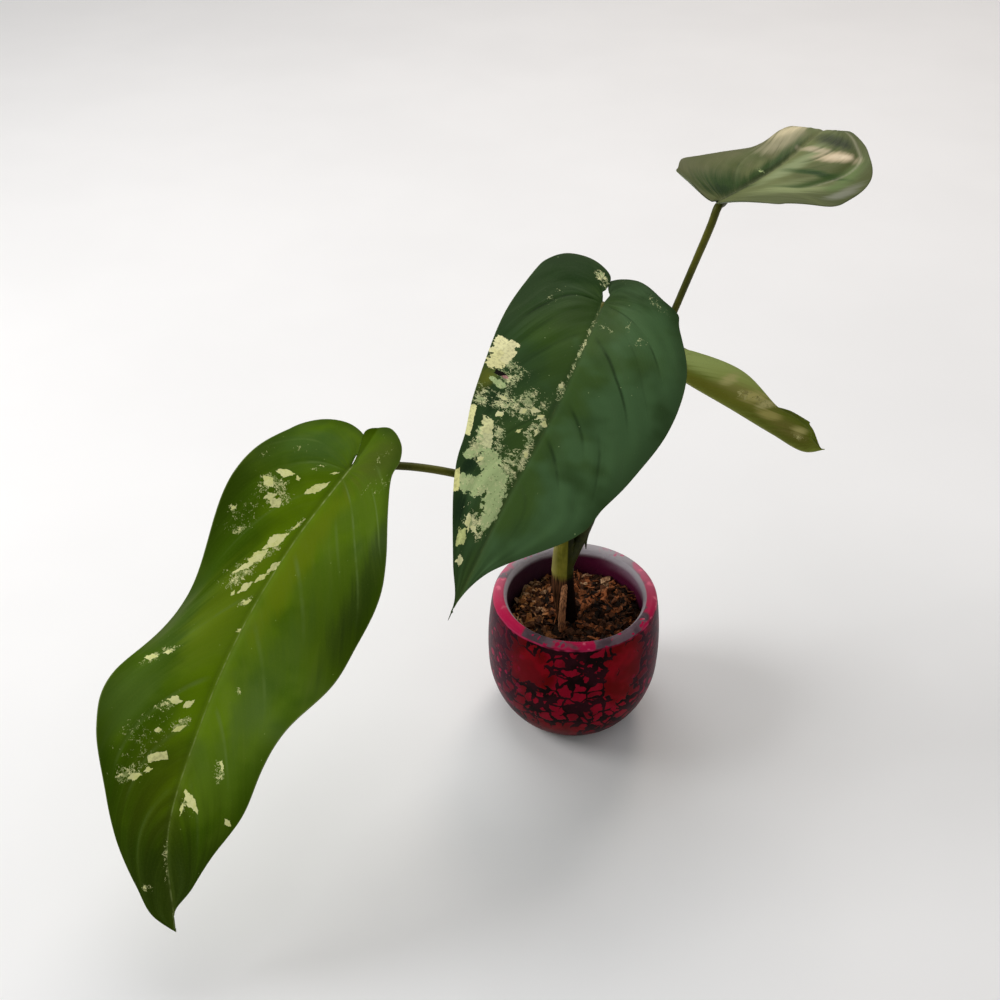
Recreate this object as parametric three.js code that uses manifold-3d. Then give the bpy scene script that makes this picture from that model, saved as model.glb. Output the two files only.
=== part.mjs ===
// Potted variegated syngonium: a young heart-leaved climber in a small glazed pot.
// Millimetres, +Z up. The origin is the middle of the pot's flat base.

import * as THREE from 'three';
import { mergeVertices } from 'three/addons/utils/BufferGeometryUtils.js';
import Module from 'manifold-3d';

const wasm = await Module();
wasm.setup();

// Driving dimensions

const GAP = 0.3;             // clearance between neighbouring pieces
const FOOT_RADIUS = 28;      // flat base of the pot
const POT_RADIUS = 62.5;     // widest place of the pot
const POT_HEIGHT = 108;
const POT_SEGMENTS = 40;
const RIM_INNER = 49;        // inner edge of the rim
const SOIL_TOP = 83;
const SOIL_EDGE_DROP = 10;   // how far the soil falls from its mound to the wall
const CHIP_COUNT = 54;
const BLADE_THICKNESS = 0.8;
const RIB_DEPTH = 2.2;       // how far the midrib stands out below at the joint
const PETIOLE_RADIUS = 3;

// Pot wall as [radius, height] points, outside from the foot up, then inside from the rim down
const POT_OUTSIDE = [
  [FOOT_RADIUS, 0], [43.5, 6], [54.5, 20.5], [61, 39.5], [POT_RADIUS, 57], [62.3, 76],
  [61, 92], [59.8, 101], [58.5, 106], [55.5, POT_HEIGHT], [51.5, 107], [RIM_INNER, 103.5],
];
const POT_INSIDE = [
  [RIM_INNER, 103.5], [49.5, 94], [51.5, 78], [51, 58], [46, 38], [36, 23], [20, 16], [0, 15],
];
// Mound of the soil, nearer the back: its middle, and how far out it stays level
const MOUND = { middle: [2, 9], radius: 38 };

// Stem and aerial root: points along the middle, and the radius at each end and between
const STEM = {
  path: [[-3, 0, 56], [-5, 0, 84], [-9, 1, 116], [-9, 2, 146], [-6, 4, 172]],
  radii: [6.5, 7.5, 8, 7.5, 5],
};
const AERIAL_ROOT = {
  path: [[-8, -4, 121], [-9, -11, 108], [-9.5, -12.5, 92], [-9, -12, 68]],
  radii: [2.2, 2.4, 2.6, 1.6],
};
// Winged foot of the upper leaf's stalk, which ends in a point beside the stem
const SHEATH = {
  path: [[7, 2, 145], [7, 5, 153], [10, 11, 170], [17, 20, 196], [26, 31, 222]],
  radii: [0.4, 3.8, 6.2, 4.4, 3],
};
// Radius of a leaf stalk from its foot to its leaf, as shares of the petiole radius
const PETIOLE_TAPER = [1.9, 1.5, 1.15, 1, 0.95, 0.92, 0.95, 1.1];

// Leaves. mid: the midrib's points from the joint to the tip; face: which way the upper side looks;
// roll: turn about the midrib at joint, middle and tip, degrees; lobe: how far each half reaches back;
// widths: each half's width at the stations; fold: rise of each half from flat at the midrib, degrees;
// curl: how far it bends over to its margin, degrees; wave: swing of the curl along the leaf
// [degrees, waves, phase]; lift: rise of the lobe's end. Pairs are the leaf's left half, then its right.
const LEAVES = {
  left: {
    mid: [
      [-148, -19, 237], [-185, -72, 211], [-215, -128, 182],
      [-236, -172, 147], [-251, -220, 108], [-250, -245, 48],
    ],
    face: [-0.1, -0.75, 0.65], roll: [-8, -2, -1], lobe: [28, 23],
    widths: [[30, 62, 69, 57, 42, 13, 2], [55, 57, 43, 66, 41, 17, 8]],
    fold: [[18, 12, 11], [10, 10, 10]], curl: [[-18, -20, -10], [-23, -21, -10]],
    wave: [[33, 2, 0.1], [30, 2, 0.9]], lift: [4, -4],
    petiole: [[-8, 2, 142], [-24, 0, 176], [-50, -2, 203], [-85, -5, 218], [-121, -5, 224]],
  },
  centre: {
    mid: [[14, 35, 328], [-7, -29, 318], [-25, -58, 292], [-49, -86, 258], [-85, -122, 190]],
    face: [-0.1, -0.75, 0.65], roll: [7, 5, 2], lobe: [28, 33],
    widths: [[48, 65, 67, 58, 47, 9, 1.5], [49, 54, 52, 48, 36, 9, 1.5]],
    fold: [[9, 9, 8], [10, 14, 10]], curl: [[-21, -22, -11], [-24, -20, -10]],
    wave: [[0, 1, 0], [0, 1, 0]], lift: [-4, -5],
    petiole: [[-7, 4, 164], [-8, 10, 215], [0, 24, 280]],
  },
  upper: {
    mid: [[83, 55, 385], [112, 104, 375], [143, 148, 372], [181, 211, 369], [190, 254, 340]],
    face: [0, -0.2, 1], roll: [3, 4, 5], lobe: [20, 16],
    widths: [[32, 42, 38, 28, 21, 7, 2], [43, 57, 60, 56, 30, 10, 2]],
    fold: [[30, 12, 6], [26, 9, 3]], curl: [[-18, -23, -13], [-31, -31, -12]],
    wave: [[0, 1, 0], [0, 1, 0]], lift: [8, 2],
    petiole: [[-5, 2, 138], [8, 11, 165], [35, 38, 238], [60, 55, 305]],
  },
  young: {
    mid: [[50, 82, 256], [78, 81, 236], [112, 79, 215], [144, 76, 195], [169, 73, 181], [182, 71, 183]],
    face: [0, 0.5, 0.87], roll: [-20, 8, 0], lobe: [18, 18],
    widths: [[17, 20, 22, 19, 17, 12, 3], [20, 23, 26, 18, 12, 6, 2]],
    fold: [[95, 65, 58], [35, 62, 48]], curl: [[45, 25, 0], [45, 45, 12]],
    wave: [[0, 1, 0], [0, 1, 0]], lift: [0, 0],
    petiole: [[-6, 5, 158], [-2, 26, 194], [18, 60, 230]],
  },
};

// Outline of a half leaf: the lobe as [along the lobe's reach, across the width at the joint],
// then the stations of the widths as shares of the length
const LOBE = [
  [-0.04, 0.04], [-0.22, 0.05], [-0.4, 0.03], [-0.76, 0.1], [-1, 0.36], [-0.8, 0.72], [-0.38, 0.93],
];
const STATIONS = [0, 0.15, 0.35, 0.55, 0.75, 0.9, 0.96, 1];
const ROWS_PER_SPAN = [1, 1, 1, 2, 2, 2, 1, 2, 3, 3, 3, 2, 1, 1];
const COLUMNS = [0, 0.07, 0.25, 0.45, 0.65, 0.84, 1];

// Colours

const finish = (color, roughness) => new THREE.MeshStandardMaterial({ color, roughness, metalness: 0 });
const glaze = finish(0x6e0a1c, 0.25);
const bark = finish(0x5a3620, 0.95);
const stemGreen = finish(0x6f7a24, 0.55);
const rootBrown = finish(0x7a5236, 0.9);
const petioleGreen = finish(0x4a5220, 0.5);
const bladeFinish = {
  left: finish(0x3f5f1a, 0.4),
  centre: finish(0x34502f, 0.4),
  upper: finish(0x5a6a44, 0.35),
  young: finish(0x7f8c3a, 0.45),
};

// Geometry helpers

const vector = (p) => new THREE.Vector3(p[0], p[1], p[2] ?? 0);
const curveThrough = (points) => new THREE.CatmullRomCurve3(points.map(vector), false, 'centripetal');
const blend = ([a, b, c], t) => a * (1 - t) ** 2 + 2 * b * t * (1 - t) + c * t * t;
const radians = THREE.MathUtils.degToRad;

/** Value along a list of equally spaced values, t from 0 to 1. */
function along(values, t) {
  const place = Math.min(t, 1) * (values.length - 1);
  const i = Math.min(Math.floor(place), values.length - 2);
  return THREE.MathUtils.lerp(values[i], values[i + 1], place - i);
}

/** Fixed series of random numbers from 0 to 1. */
function randomSeries(seed) {
  let state = seed;
  return () => {
    state = (state * 1664525 + 1013904223) % 4294967296;
    return state / 4294967296;
  };
}

function geometryFrom(points, triangles) {
  const geometry = new THREE.BufferGeometry();
  geometry.setFromPoints(points);
  geometry.setIndex(triangles.flat());
  return geometry;
}

function solidFrom(geometry) {
  const plain = geometry.clone();
  plain.deleteAttribute('normal');
  plain.deleteAttribute('uv');
  const merged = mergeVertices(plain, 1e-4);
  return new wasm.Manifold(new wasm.Mesh({
    numProp: 3,
    vertProperties: new Float32Array(merged.attributes.position.array),
    triVerts: new Uint32Array(merged.index.array),
  }));
}

function geometryOf(solid) {
  const mesh = solid.getMesh();
  const geometry = new THREE.BufferGeometry();
  geometry.setAttribute('position', new THREE.BufferAttribute(mesh.vertProperties.slice(), 3));
  geometry.setIndex(new THREE.BufferAttribute(mesh.triVerts.slice(), 1));
  return geometry;
}

/** The largest body of a solid, without the scraps that a cut can leave. */
function largestBody(solid) {
  return solid.decompose().sort((a, b) => b.volume() - a.volume())[0];
}

/** Closed round rod along a path, its radii spread evenly from end to end, its skin grown all over. */
function rod({ path, radii }, steps, sides, grow = 0) {
  const curve = curveThrough(path);
  const frames = curve.computeFrenetFrames(steps, false);
  const overrun = new Map([[0, -grow], [steps, grow]]);
  const points = [];
  const triangles = [];
  for (let i = 0; i <= steps; i++) {
    const centre = curve.getPointAt(i / steps).addScaledVector(frames.tangents[i], overrun.get(i) ?? 0);
    const radius = along(radii, i / steps) + grow;
    for (let j = 0; j < sides; j++) {
      const angle = (2 * Math.PI * j) / sides;
      points.push(centre.clone()
        .addScaledVector(frames.normals[i], radius * Math.cos(angle))
        .addScaledVector(frames.binormals[i], radius * Math.sin(angle)));
      if (i === steps) continue;
      const [a, b] = [i * sides + j, i * sides + ((j + 1) % sides)];
      triangles.push([a, b, a + sides], [b, b + sides, a + sides]);
    }
  }
  const [first, last] = [points.length, points.length + 1];
  points.push(curve.getPoint(0).addScaledVector(frames.tangents[0], -grow));
  points.push(curve.getPoint(1).addScaledVector(frames.tangents[steps], grow));
  for (let j = 0; j < sides; j++) {
    const next = (j + 1) % sides;
    triangles.push([first, next, j], [last, steps * sides + j, steps * sides + next]);
  }
  return geometryFrom(points, triangles);
}

// Leaf blades

/** One leaf's surface: place(along, across, side) with side -1 for its left half and 1 for its right. */
class Blade {
  constructor(leaf) {
    this.leaf = leaf;
    this.midrib = curveThrough(leaf.mid);
    this.length = this.midrib.getLength();
    this.face = vector(leaf.face);
  }

  frame(distance) {
    const t = THREE.MathUtils.clamp(distance / this.length, 0, 1);
    const forward = this.midrib.getTangent(t);
    const across = new THREE.Vector3().crossVectors(forward, this.face).normalize();
    const up = new THREE.Vector3().crossVectors(across, forward);
    const roll = radians(blend(this.leaf.roll, t));
    const point = this.midrib.getPoint(t).addScaledVector(forward, Math.min(distance, 0));
    const side = across.clone().multiplyScalar(Math.cos(roll)).addScaledVector(up, Math.sin(roll));
    const normal = up.multiplyScalar(Math.cos(roll)).addScaledVector(across, -Math.sin(roll));
    return { t, point, forward, side, normal };
  }

  place(distance, across, side) {
    const half = side < 0 ? 0 : 1;
    const { leaf } = this;
    const { t, point, side: sideways, normal } = this.frame(distance);
    const [swing, waves, phase] = leaf.wave[half];
    const share = Math.max(distance / this.length, -0.3);
    const fold = radians(blend(leaf.fold[half], t));
    let curl = radians(blend(leaf.curl[half], t) + swing * Math.sin(2 * Math.PI * (waves * share + phase)));
    if (Math.abs(curl) < 1e-3) curl = 1e-3;
    const width = Math.max(...leaf.widths[half]);
    const bend = width / curl;
    const angle = fold + (curl * across) / width;
    const back = Math.min(distance, 0) / leaf.lobe[half];
    const rise = bend * (Math.cos(fold) - Math.cos(angle)) + leaf.lift[half] * back ** 2;
    return point
      .addScaledVector(sideways, side * bend * (Math.sin(angle) - Math.sin(fold)))
      .addScaledVector(normal, rise);
  }

  /** Rows of [station share, along, across] down the margin of one half. */
  margin(half) {
    const widths = this.leaf.widths[half];
    const reach = this.leaf.lobe[half];
    const outline = curveThrough([
      ...LOBE.map(([back, out]) => [back * reach, out * widths[0]]),
      ...STATIONS.map((share, i) => [share * this.length, widths[i] ?? 0]),
    ]);
    const spans = ROWS_PER_SPAN.length;
    const rows = ROWS_PER_SPAN.flatMap((count, span) => (
      Array.from({ length: count }, (_, i) => (span + i / count) / spans)));
    return [...rows, 1].map((u) => {
      const { x, y } = outline.getPoint(u);
      const place = u * spans;
      const share = place < LOBE.length
        ? -0.25 * (1 - place / LOBE.length)
        : along(STATIONS, (place - LOBE.length) / (STATIONS.length - 1));
      return [share, x, Math.max(y, 0)];
    });
  }

  /** Where on the midrib a row starts: rows of the lobes fan out from close to the joint. */
  root(share) {
    const ease = (s) => 0.5 * ((s - 0.2) / 0.8 + Math.hypot((s - 0.2) / 0.8, 0.12));
    return (this.length * ease(share)) / ease(1);
  }

  /** Closed body of the blade, its skin grown by the given clearance. */
  body(grow = 0) {
    const rows = [this.margin(0), this.margin(1)];
    const last = rows[0].length - 1;
    const top = [];
    const shares = [];
    const index = (half, row, column) => {
      if (row === last) return last * (2 * COLUMNS.length - 1);
      const start = row * (2 * COLUMNS.length - 1);
      return column === 0 ? start : start + 2 * column - 1 + half;
    };
    for (let row = 0; row <= last; row++) {
      const root = this.root(rows[0][row][0]);
      for (const [half, side] of [[0, -1], [1, 1]]) {
        const [, distance, across] = rows[half][row];
        COLUMNS.forEach((w, column) => {
          const at = index(half, row, column);
          top[at] = this.place(THREE.MathUtils.lerp(root, distance, w), across * w, side);
          shares[at] = column === 0 && row < last ? root / this.length : null;
        });
      }
    }
    const faces = [];
    const rim = [];
    const addFace = (a, b, c) => {
      if (a !== b && b !== c && a !== c) faces.push([a, b, c]);
    };
    for (const half of [0, 1]) {
      for (let row = 0; row < last; row++) {
        for (let column = 0; column < COLUMNS.length - 1; column++) {
          const [a, b] = [index(half, row, column), index(half, row, column + 1)];
          const [c, d] = [index(half, row + 1, column), index(half, row + 1, column + 1)];
          if (half === 0) {
            addFace(a, c, b);
            addFace(b, c, d);
          } else {
            addFace(a, b, c);
            addFace(b, d, c);
          }
        }
      }
      const edge = COLUMNS.map((_, column) => index(half, 0, column));
      for (let row = 1; row <= last; row++) edge.push(index(half, row, COLUMNS.length - 1));
      rim.push(half === 0 ? edge : edge.reverse());
    }
    const sheet = geometryFrom(top, faces);
    sheet.computeVertexNormals();
    const normals = sheet.attributes.normal;
    const bottom = top.map((p, i) => {
      const rib = shares[i] === null ? 0 : RIB_DEPTH * (1 - shares[i]) ** 0.8;
      return p.clone().addScaledVector(
        new THREE.Vector3().fromBufferAttribute(normals, i), -(BLADE_THICKNESS + rib + grow));
    });
    const upper = top.map((p, i) => (
      p.clone().addScaledVector(new THREE.Vector3().fromBufferAttribute(normals, i), grow)));
    const count = top.length;
    const triangles = [...faces, ...faces.map(([a, b, c]) => [a + count, c + count, b + count])];
    for (const edge of rim) {
      for (let i = 0; i < edge.length - 1; i++) {
        const [a, b] = [edge[i], edge[i + 1]];
        triangles.push([a, b, a + count], [b, b + count, a + count]);
      }
    }
    return geometryFrom([...upper, ...bottom], triangles);
  }

  /** Box over the notch at the joint, which ends a petiole below the blade. */
  jointBlock() {
    const { point, forward, side, normal } = this.frame(0);
    const size = 8 * PETIOLE_RADIUS;
    const block = new THREE.BoxGeometry(size, size, size);
    const basis = new THREE.Matrix4().makeBasis(side, forward, normal.clone());
    basis.setPosition(point.addScaledVector(normal, size / 2 - BLADE_THICKNESS - RIB_DEPTH - GAP));
    return block.applyMatrix4(basis);
  }
}

// Pot

function latheBody(profile, segments) {
  const lathe = new THREE.LatheGeometry(profile.map(([r, z]) => new THREE.Vector2(r, z)), segments);
  return lathe.rotateX(Math.PI / 2);
}

/** Smooth profile through [radius, height] points. */
function smooth(points, steps) {
  return curveThrough(points).getPoints(steps).map(({ x, y }) => [Math.max(x, 0), y]);
}

const potProfile = [[0, 0], ...smooth(POT_OUTSIDE, 22), ...smooth(POT_INSIDE, 10).slice(1)];
const potGeometry = latheBody(potProfile, POT_SEGMENTS);

// Soil

const soilWall = smooth(POT_INSIDE, 10).map(([r, z]) => [Math.max(r - 1.4 * GAP, 0), z + 1.2 * GAP]);

/** Height of the soil's surface: highest at the back right, uneven, falling away beyond the mound. */
function soilHeight(x, y) {
  const slope = 0.05 * (x + y);
  const lumps = Math.sin(0.31 * x + 1.3) * Math.cos(0.27 * y - 0.4) + 0.6 * Math.sin(0.53 * x - 0.47 * y);
  const beyond = Math.hypot(x - MOUND.middle[0], y - MOUND.middle[1]) - MOUND.radius;
  const fall = SOIL_EDGE_DROP * THREE.MathUtils.smoothstep(beyond, 0, RIM_INNER - MOUND.radius);
  return SOIL_TOP + slope + lumps - fall;
}

function soilBase() {
  const ringShares = [0.2, 0.4, 0.58, 0.74, 0.88, 1];
  const sides = 24;
  const wallRadius = soilWall.find(([, z]) => z < SOIL_TOP)[0];
  const points = [new THREE.Vector3(0, 0, soilHeight(0, 0))];
  const triangles = [];
  const pushRing = (radius, height) => {
    for (let j = 0; j < sides; j++) {
      const angle = (2 * Math.PI * j) / sides;
      const [x, y] = [radius * Math.cos(angle), radius * Math.sin(angle)];
      points.push(new THREE.Vector3(x, y, height(x, y)));
    }
  };
  for (const share of ringShares) pushRing(wallRadius * share, soilHeight);
  const lower = soilWall.filter(([r, z]) => z < SOIL_TOP - 2 * SOIL_EDGE_DROP && r > 0);
  for (const [radius, z] of lower) pushRing(radius, () => z);
  points.push(new THREE.Vector3(0, 0, soilWall.at(-1)[1]));
  const ringCount = ringShares.length + lower.length;
  for (let j = 0; j < sides; j++) {
    const next = (j + 1) % sides;
    triangles.push([0, 1 + j, 1 + next]);
    for (let ring = 0; ring < ringCount - 1; ring++) {
      const [a, b] = [1 + ring * sides + j, 1 + ring * sides + next];
      triangles.push([a, a + sides, b], [b, a + sides, b + sides]);
    }
    const bottomRing = 1 + (ringCount - 1) * sides;
    triangles.push([bottomRing + j, points.length - 1, bottomRing + next]);
  }
  return solidFrom(geometryFrom(points, triangles));
}

/** Flat angular chips of bark that lie on the mound at all angles, sunk by half. */
function barkChips(count) {
  const random = randomSeries(29);
  const goldenAngle = Math.PI * (3 - Math.sqrt(5));
  const chips = [];
  for (let i = 0; i < count; i++) {
    const radius = MOUND.radius * Math.sqrt((i + 0.5) / count);
    const x = MOUND.middle[0] + radius * Math.cos(i * goldenAngle);
    const y = MOUND.middle[1] + radius * Math.sin(i * goldenAngle);
    const size = [5 + 7 * random(), 3 + 3 * random(), 2.4 + 1.6 * random()];
    const chip = new THREE.BoxGeometry(...size);
    const tilt = new THREE.Euler((random() - 0.5) * 1.5, (random() - 0.5) * 1.5, random() * Math.PI * 2);
    const turn = new THREE.Matrix4().makeRotationFromEuler(tilt);
    turn.setPosition(x, y, soilHeight(x, y) + 0.4 * size[2]);
    chips.push(solidFrom(chip.applyMatrix4(turn)));
  }
  return chips;
}

// Stem, root and petioles

const stem = solidFrom(rod(STEM, 16, 14));
const stemClearance = solidFrom(rod(STEM, 16, 14, GAP));
const rootRod = solidFrom(rod(AERIAL_ROOT, 10, 8)).subtract(stemClearance);
const rootClearance = solidFrom(rod(AERIAL_ROOT, 10, 8, GAP));

const blades = Object.fromEntries(Object.entries(LEAVES).map(([name, leaf]) => [name, new Blade(leaf)]));

/** Stalk of one leaf, from its seat on the stem to below the blade's joint, wider at its foot. */
function petiole(name, grow) {
  const joint = blades[name].place(1.2 * PETIOLE_RADIUS, 0, 1);
  const path = [...LEAVES[name].petiole, joint.toArray()];
  const radii = PETIOLE_TAPER.map((share) => share * PETIOLE_RADIUS);
  const stalk = solidFrom(rod({ path, radii }, 18, 8, grow));
  return name === 'upper' ? stalk.add(solidFrom(rod(SHEATH, 10, 10, grow))) : stalk;
}

const petioles = {};
const taken = [stemClearance];
for (const name of ['upper', 'left', 'centre', 'young']) {
  const cuts = [solidFrom(blades[name].body(GAP)), solidFrom(blades[name].jointBlock()), ...taken];
  petioles[name] = largestBody(cuts.reduce((stalk, cut) => stalk.subtract(cut), petiole(name, 0)));
  taken.push(petiole(name, GAP));
}

const soilSpace = solidFrom(latheBody([...soilWall.toReversed(), [0, soilWall[0][1]]], POT_SEGMENTS));
let soil = soilBase();
for (const chip of barkChips(CHIP_COUNT)) soil = soil.add(chip);
soil = largestBody(soil.intersect(soilSpace).subtract(stemClearance).subtract(rootClearance));

// The plant as a scene graph

const plant = new THREE.Group();

function addPiece(name, geometry, material) {
  const piece = new THREE.Mesh(geometry, material);
  piece.name = name;
  plant.add(piece);
}

addPiece('pot', potGeometry, glaze);
addPiece('soil', geometryOf(soil), bark);
addPiece('stem', geometryOf(stem), stemGreen);
addPiece('aerial_root', geometryOf(largestBody(rootRod)), rootBrown);
for (const [name, stalk] of Object.entries(petioles)) {
  addPiece(`petiole_${name}`, geometryOf(stalk), petioleGreen);
}
for (const [name, blade] of Object.entries(blades)) {
  addPiece(`leaf_${name}`, blade.body(), bladeFinish[name]);
}

export default plant;
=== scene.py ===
"""Potted variegated syngonium: leaves with veins and flecks, bark soil and a glazed pot."""

import functools
import math

import bmesh
import bpy
import numpy as np
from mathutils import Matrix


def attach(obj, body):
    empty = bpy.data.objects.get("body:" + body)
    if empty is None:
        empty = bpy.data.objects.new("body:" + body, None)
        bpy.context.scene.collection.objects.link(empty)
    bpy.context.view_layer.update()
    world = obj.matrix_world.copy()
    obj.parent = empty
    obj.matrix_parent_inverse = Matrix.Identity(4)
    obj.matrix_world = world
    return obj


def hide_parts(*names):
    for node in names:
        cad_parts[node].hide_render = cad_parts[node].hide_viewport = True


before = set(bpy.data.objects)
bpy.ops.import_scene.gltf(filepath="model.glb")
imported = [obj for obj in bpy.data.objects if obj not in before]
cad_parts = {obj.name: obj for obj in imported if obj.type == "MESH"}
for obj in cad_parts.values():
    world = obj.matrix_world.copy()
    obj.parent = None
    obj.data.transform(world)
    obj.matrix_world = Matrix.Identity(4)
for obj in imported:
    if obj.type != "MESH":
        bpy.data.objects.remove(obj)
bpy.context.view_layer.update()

MM = 0.001

# Driving dimensions, in millimetres, as in the part's source

FOOT_RADIUS = 28
POT_RADIUS = 62.5
POT_HEIGHT = 108
RIM_INNER = 49
SOIL_TOP = 83
SOIL_EDGE_DROP = 10
MOUND_MIDDLE = (2, 9)
MOUND_RADIUS = 38
BLADE_THICKNESS = 0.8
RIB_DEPTH = 2.2
PETIOLE_RADIUS = 3

POT_OUTSIDE = [
    (FOOT_RADIUS, 0), (43.5, 6), (54.5, 20.5), (61, 39.5), (POT_RADIUS, 57), (62.3, 76),
    (61, 92), (59.8, 101), (58.5, 106), (55.5, POT_HEIGHT), (51.5, 107), (RIM_INNER, 103.5),
]
# Where the glaze is clear of its black net, in metres: middles and reaches
GLAZE_CLEARINGS = [
    ((-0.034, -0.045, 0.083), (0.016, 0.03, 0.017)), ((0.032, -0.045, 0.08), (0.014, 0.03, 0.024)),
    ((-0.01, -0.04, 0.022), (0.02, 0.03, 0.012)), ((0.0, 0.055, 0.06), (0.03, 0.03, 0.016)),
]
POT_INSIDE = [
    (RIM_INNER, 103.5), (49.5, 94), (51.5, 78), (51, 58), (46, 38), (36, 23), (20, 16), (0, 15),
]

# Rods: points along the middle, and radii spread evenly from end to end
STEM = (
    [(-3, 0, 56), (-5, 0, 84), (-9, 1, 116), (-9, 2, 146), (-6, 4, 172)],
    [6.5, 7.5, 8, 7.5, 5],
)
STEM_MIDDLE = (-9, 2)
STEM_RINGS = (103, 128, 152)        # heights of the scars that old leaves left
STEM_RING_REACH = 1.1
STEM_RING_SWELLING = 0.04
AERIAL_ROOT = (
    [(-8, -4, 121), (-9, -11, 108), (-9.5, -12.5, 92), (-9, -12, 68)],
    [2.2, 2.4, 2.6, 1.6],
)
SHEATH = (
    [(6.5, 2, 146), (6.4, 5, 153), (9.2, 11, 170), (16, 20, 196), (25, 31, 222)],
    [0.3, 3, 5.8, 4.4, 3],
)
PETIOLE_TAPER = [1.9, 1.5, 1.15, 1, 0.95, 0.92, 0.92, 0.98]
PETIOLE_BASE_DEPTH = 12
# The end of each petiole, under its blade: places along the midrib, depths below it, last radii
UNDER_BLADE_PLACES = np.array([4.0, 12.0, 26.0])
UNDER_BLADE_DEPTHS = np.array([3.4, 2.6, 1.5])
UNDER_BLADE_RADII = [2.4, 1.0]

SOIL_CLEARANCE = np.array([-0.5, 0.4])      # inwards and upwards from the pot's inside
SOIL_RINGS = 40
SOIL_SPOKES = 96
BARK_CHIPS = 90000.0                        # a square metre
BARK_FIBRES = 22000.0
CHIP_SIZE = (0.006, 0.003, 0.0018)          # in metres, as the next two
FIBRE_RADIUS = 0.00042
BARK_ROUGHNESS = 0.0045
FULL_TURN = 6.28

# Hole in the soil beside the stem, painted black as painted shade
HOLLOW_MIDDLE = (-1, 11)
HOLLOW_REACH = (6.5, 19)
HOLLOW_DEPTH = 10
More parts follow.
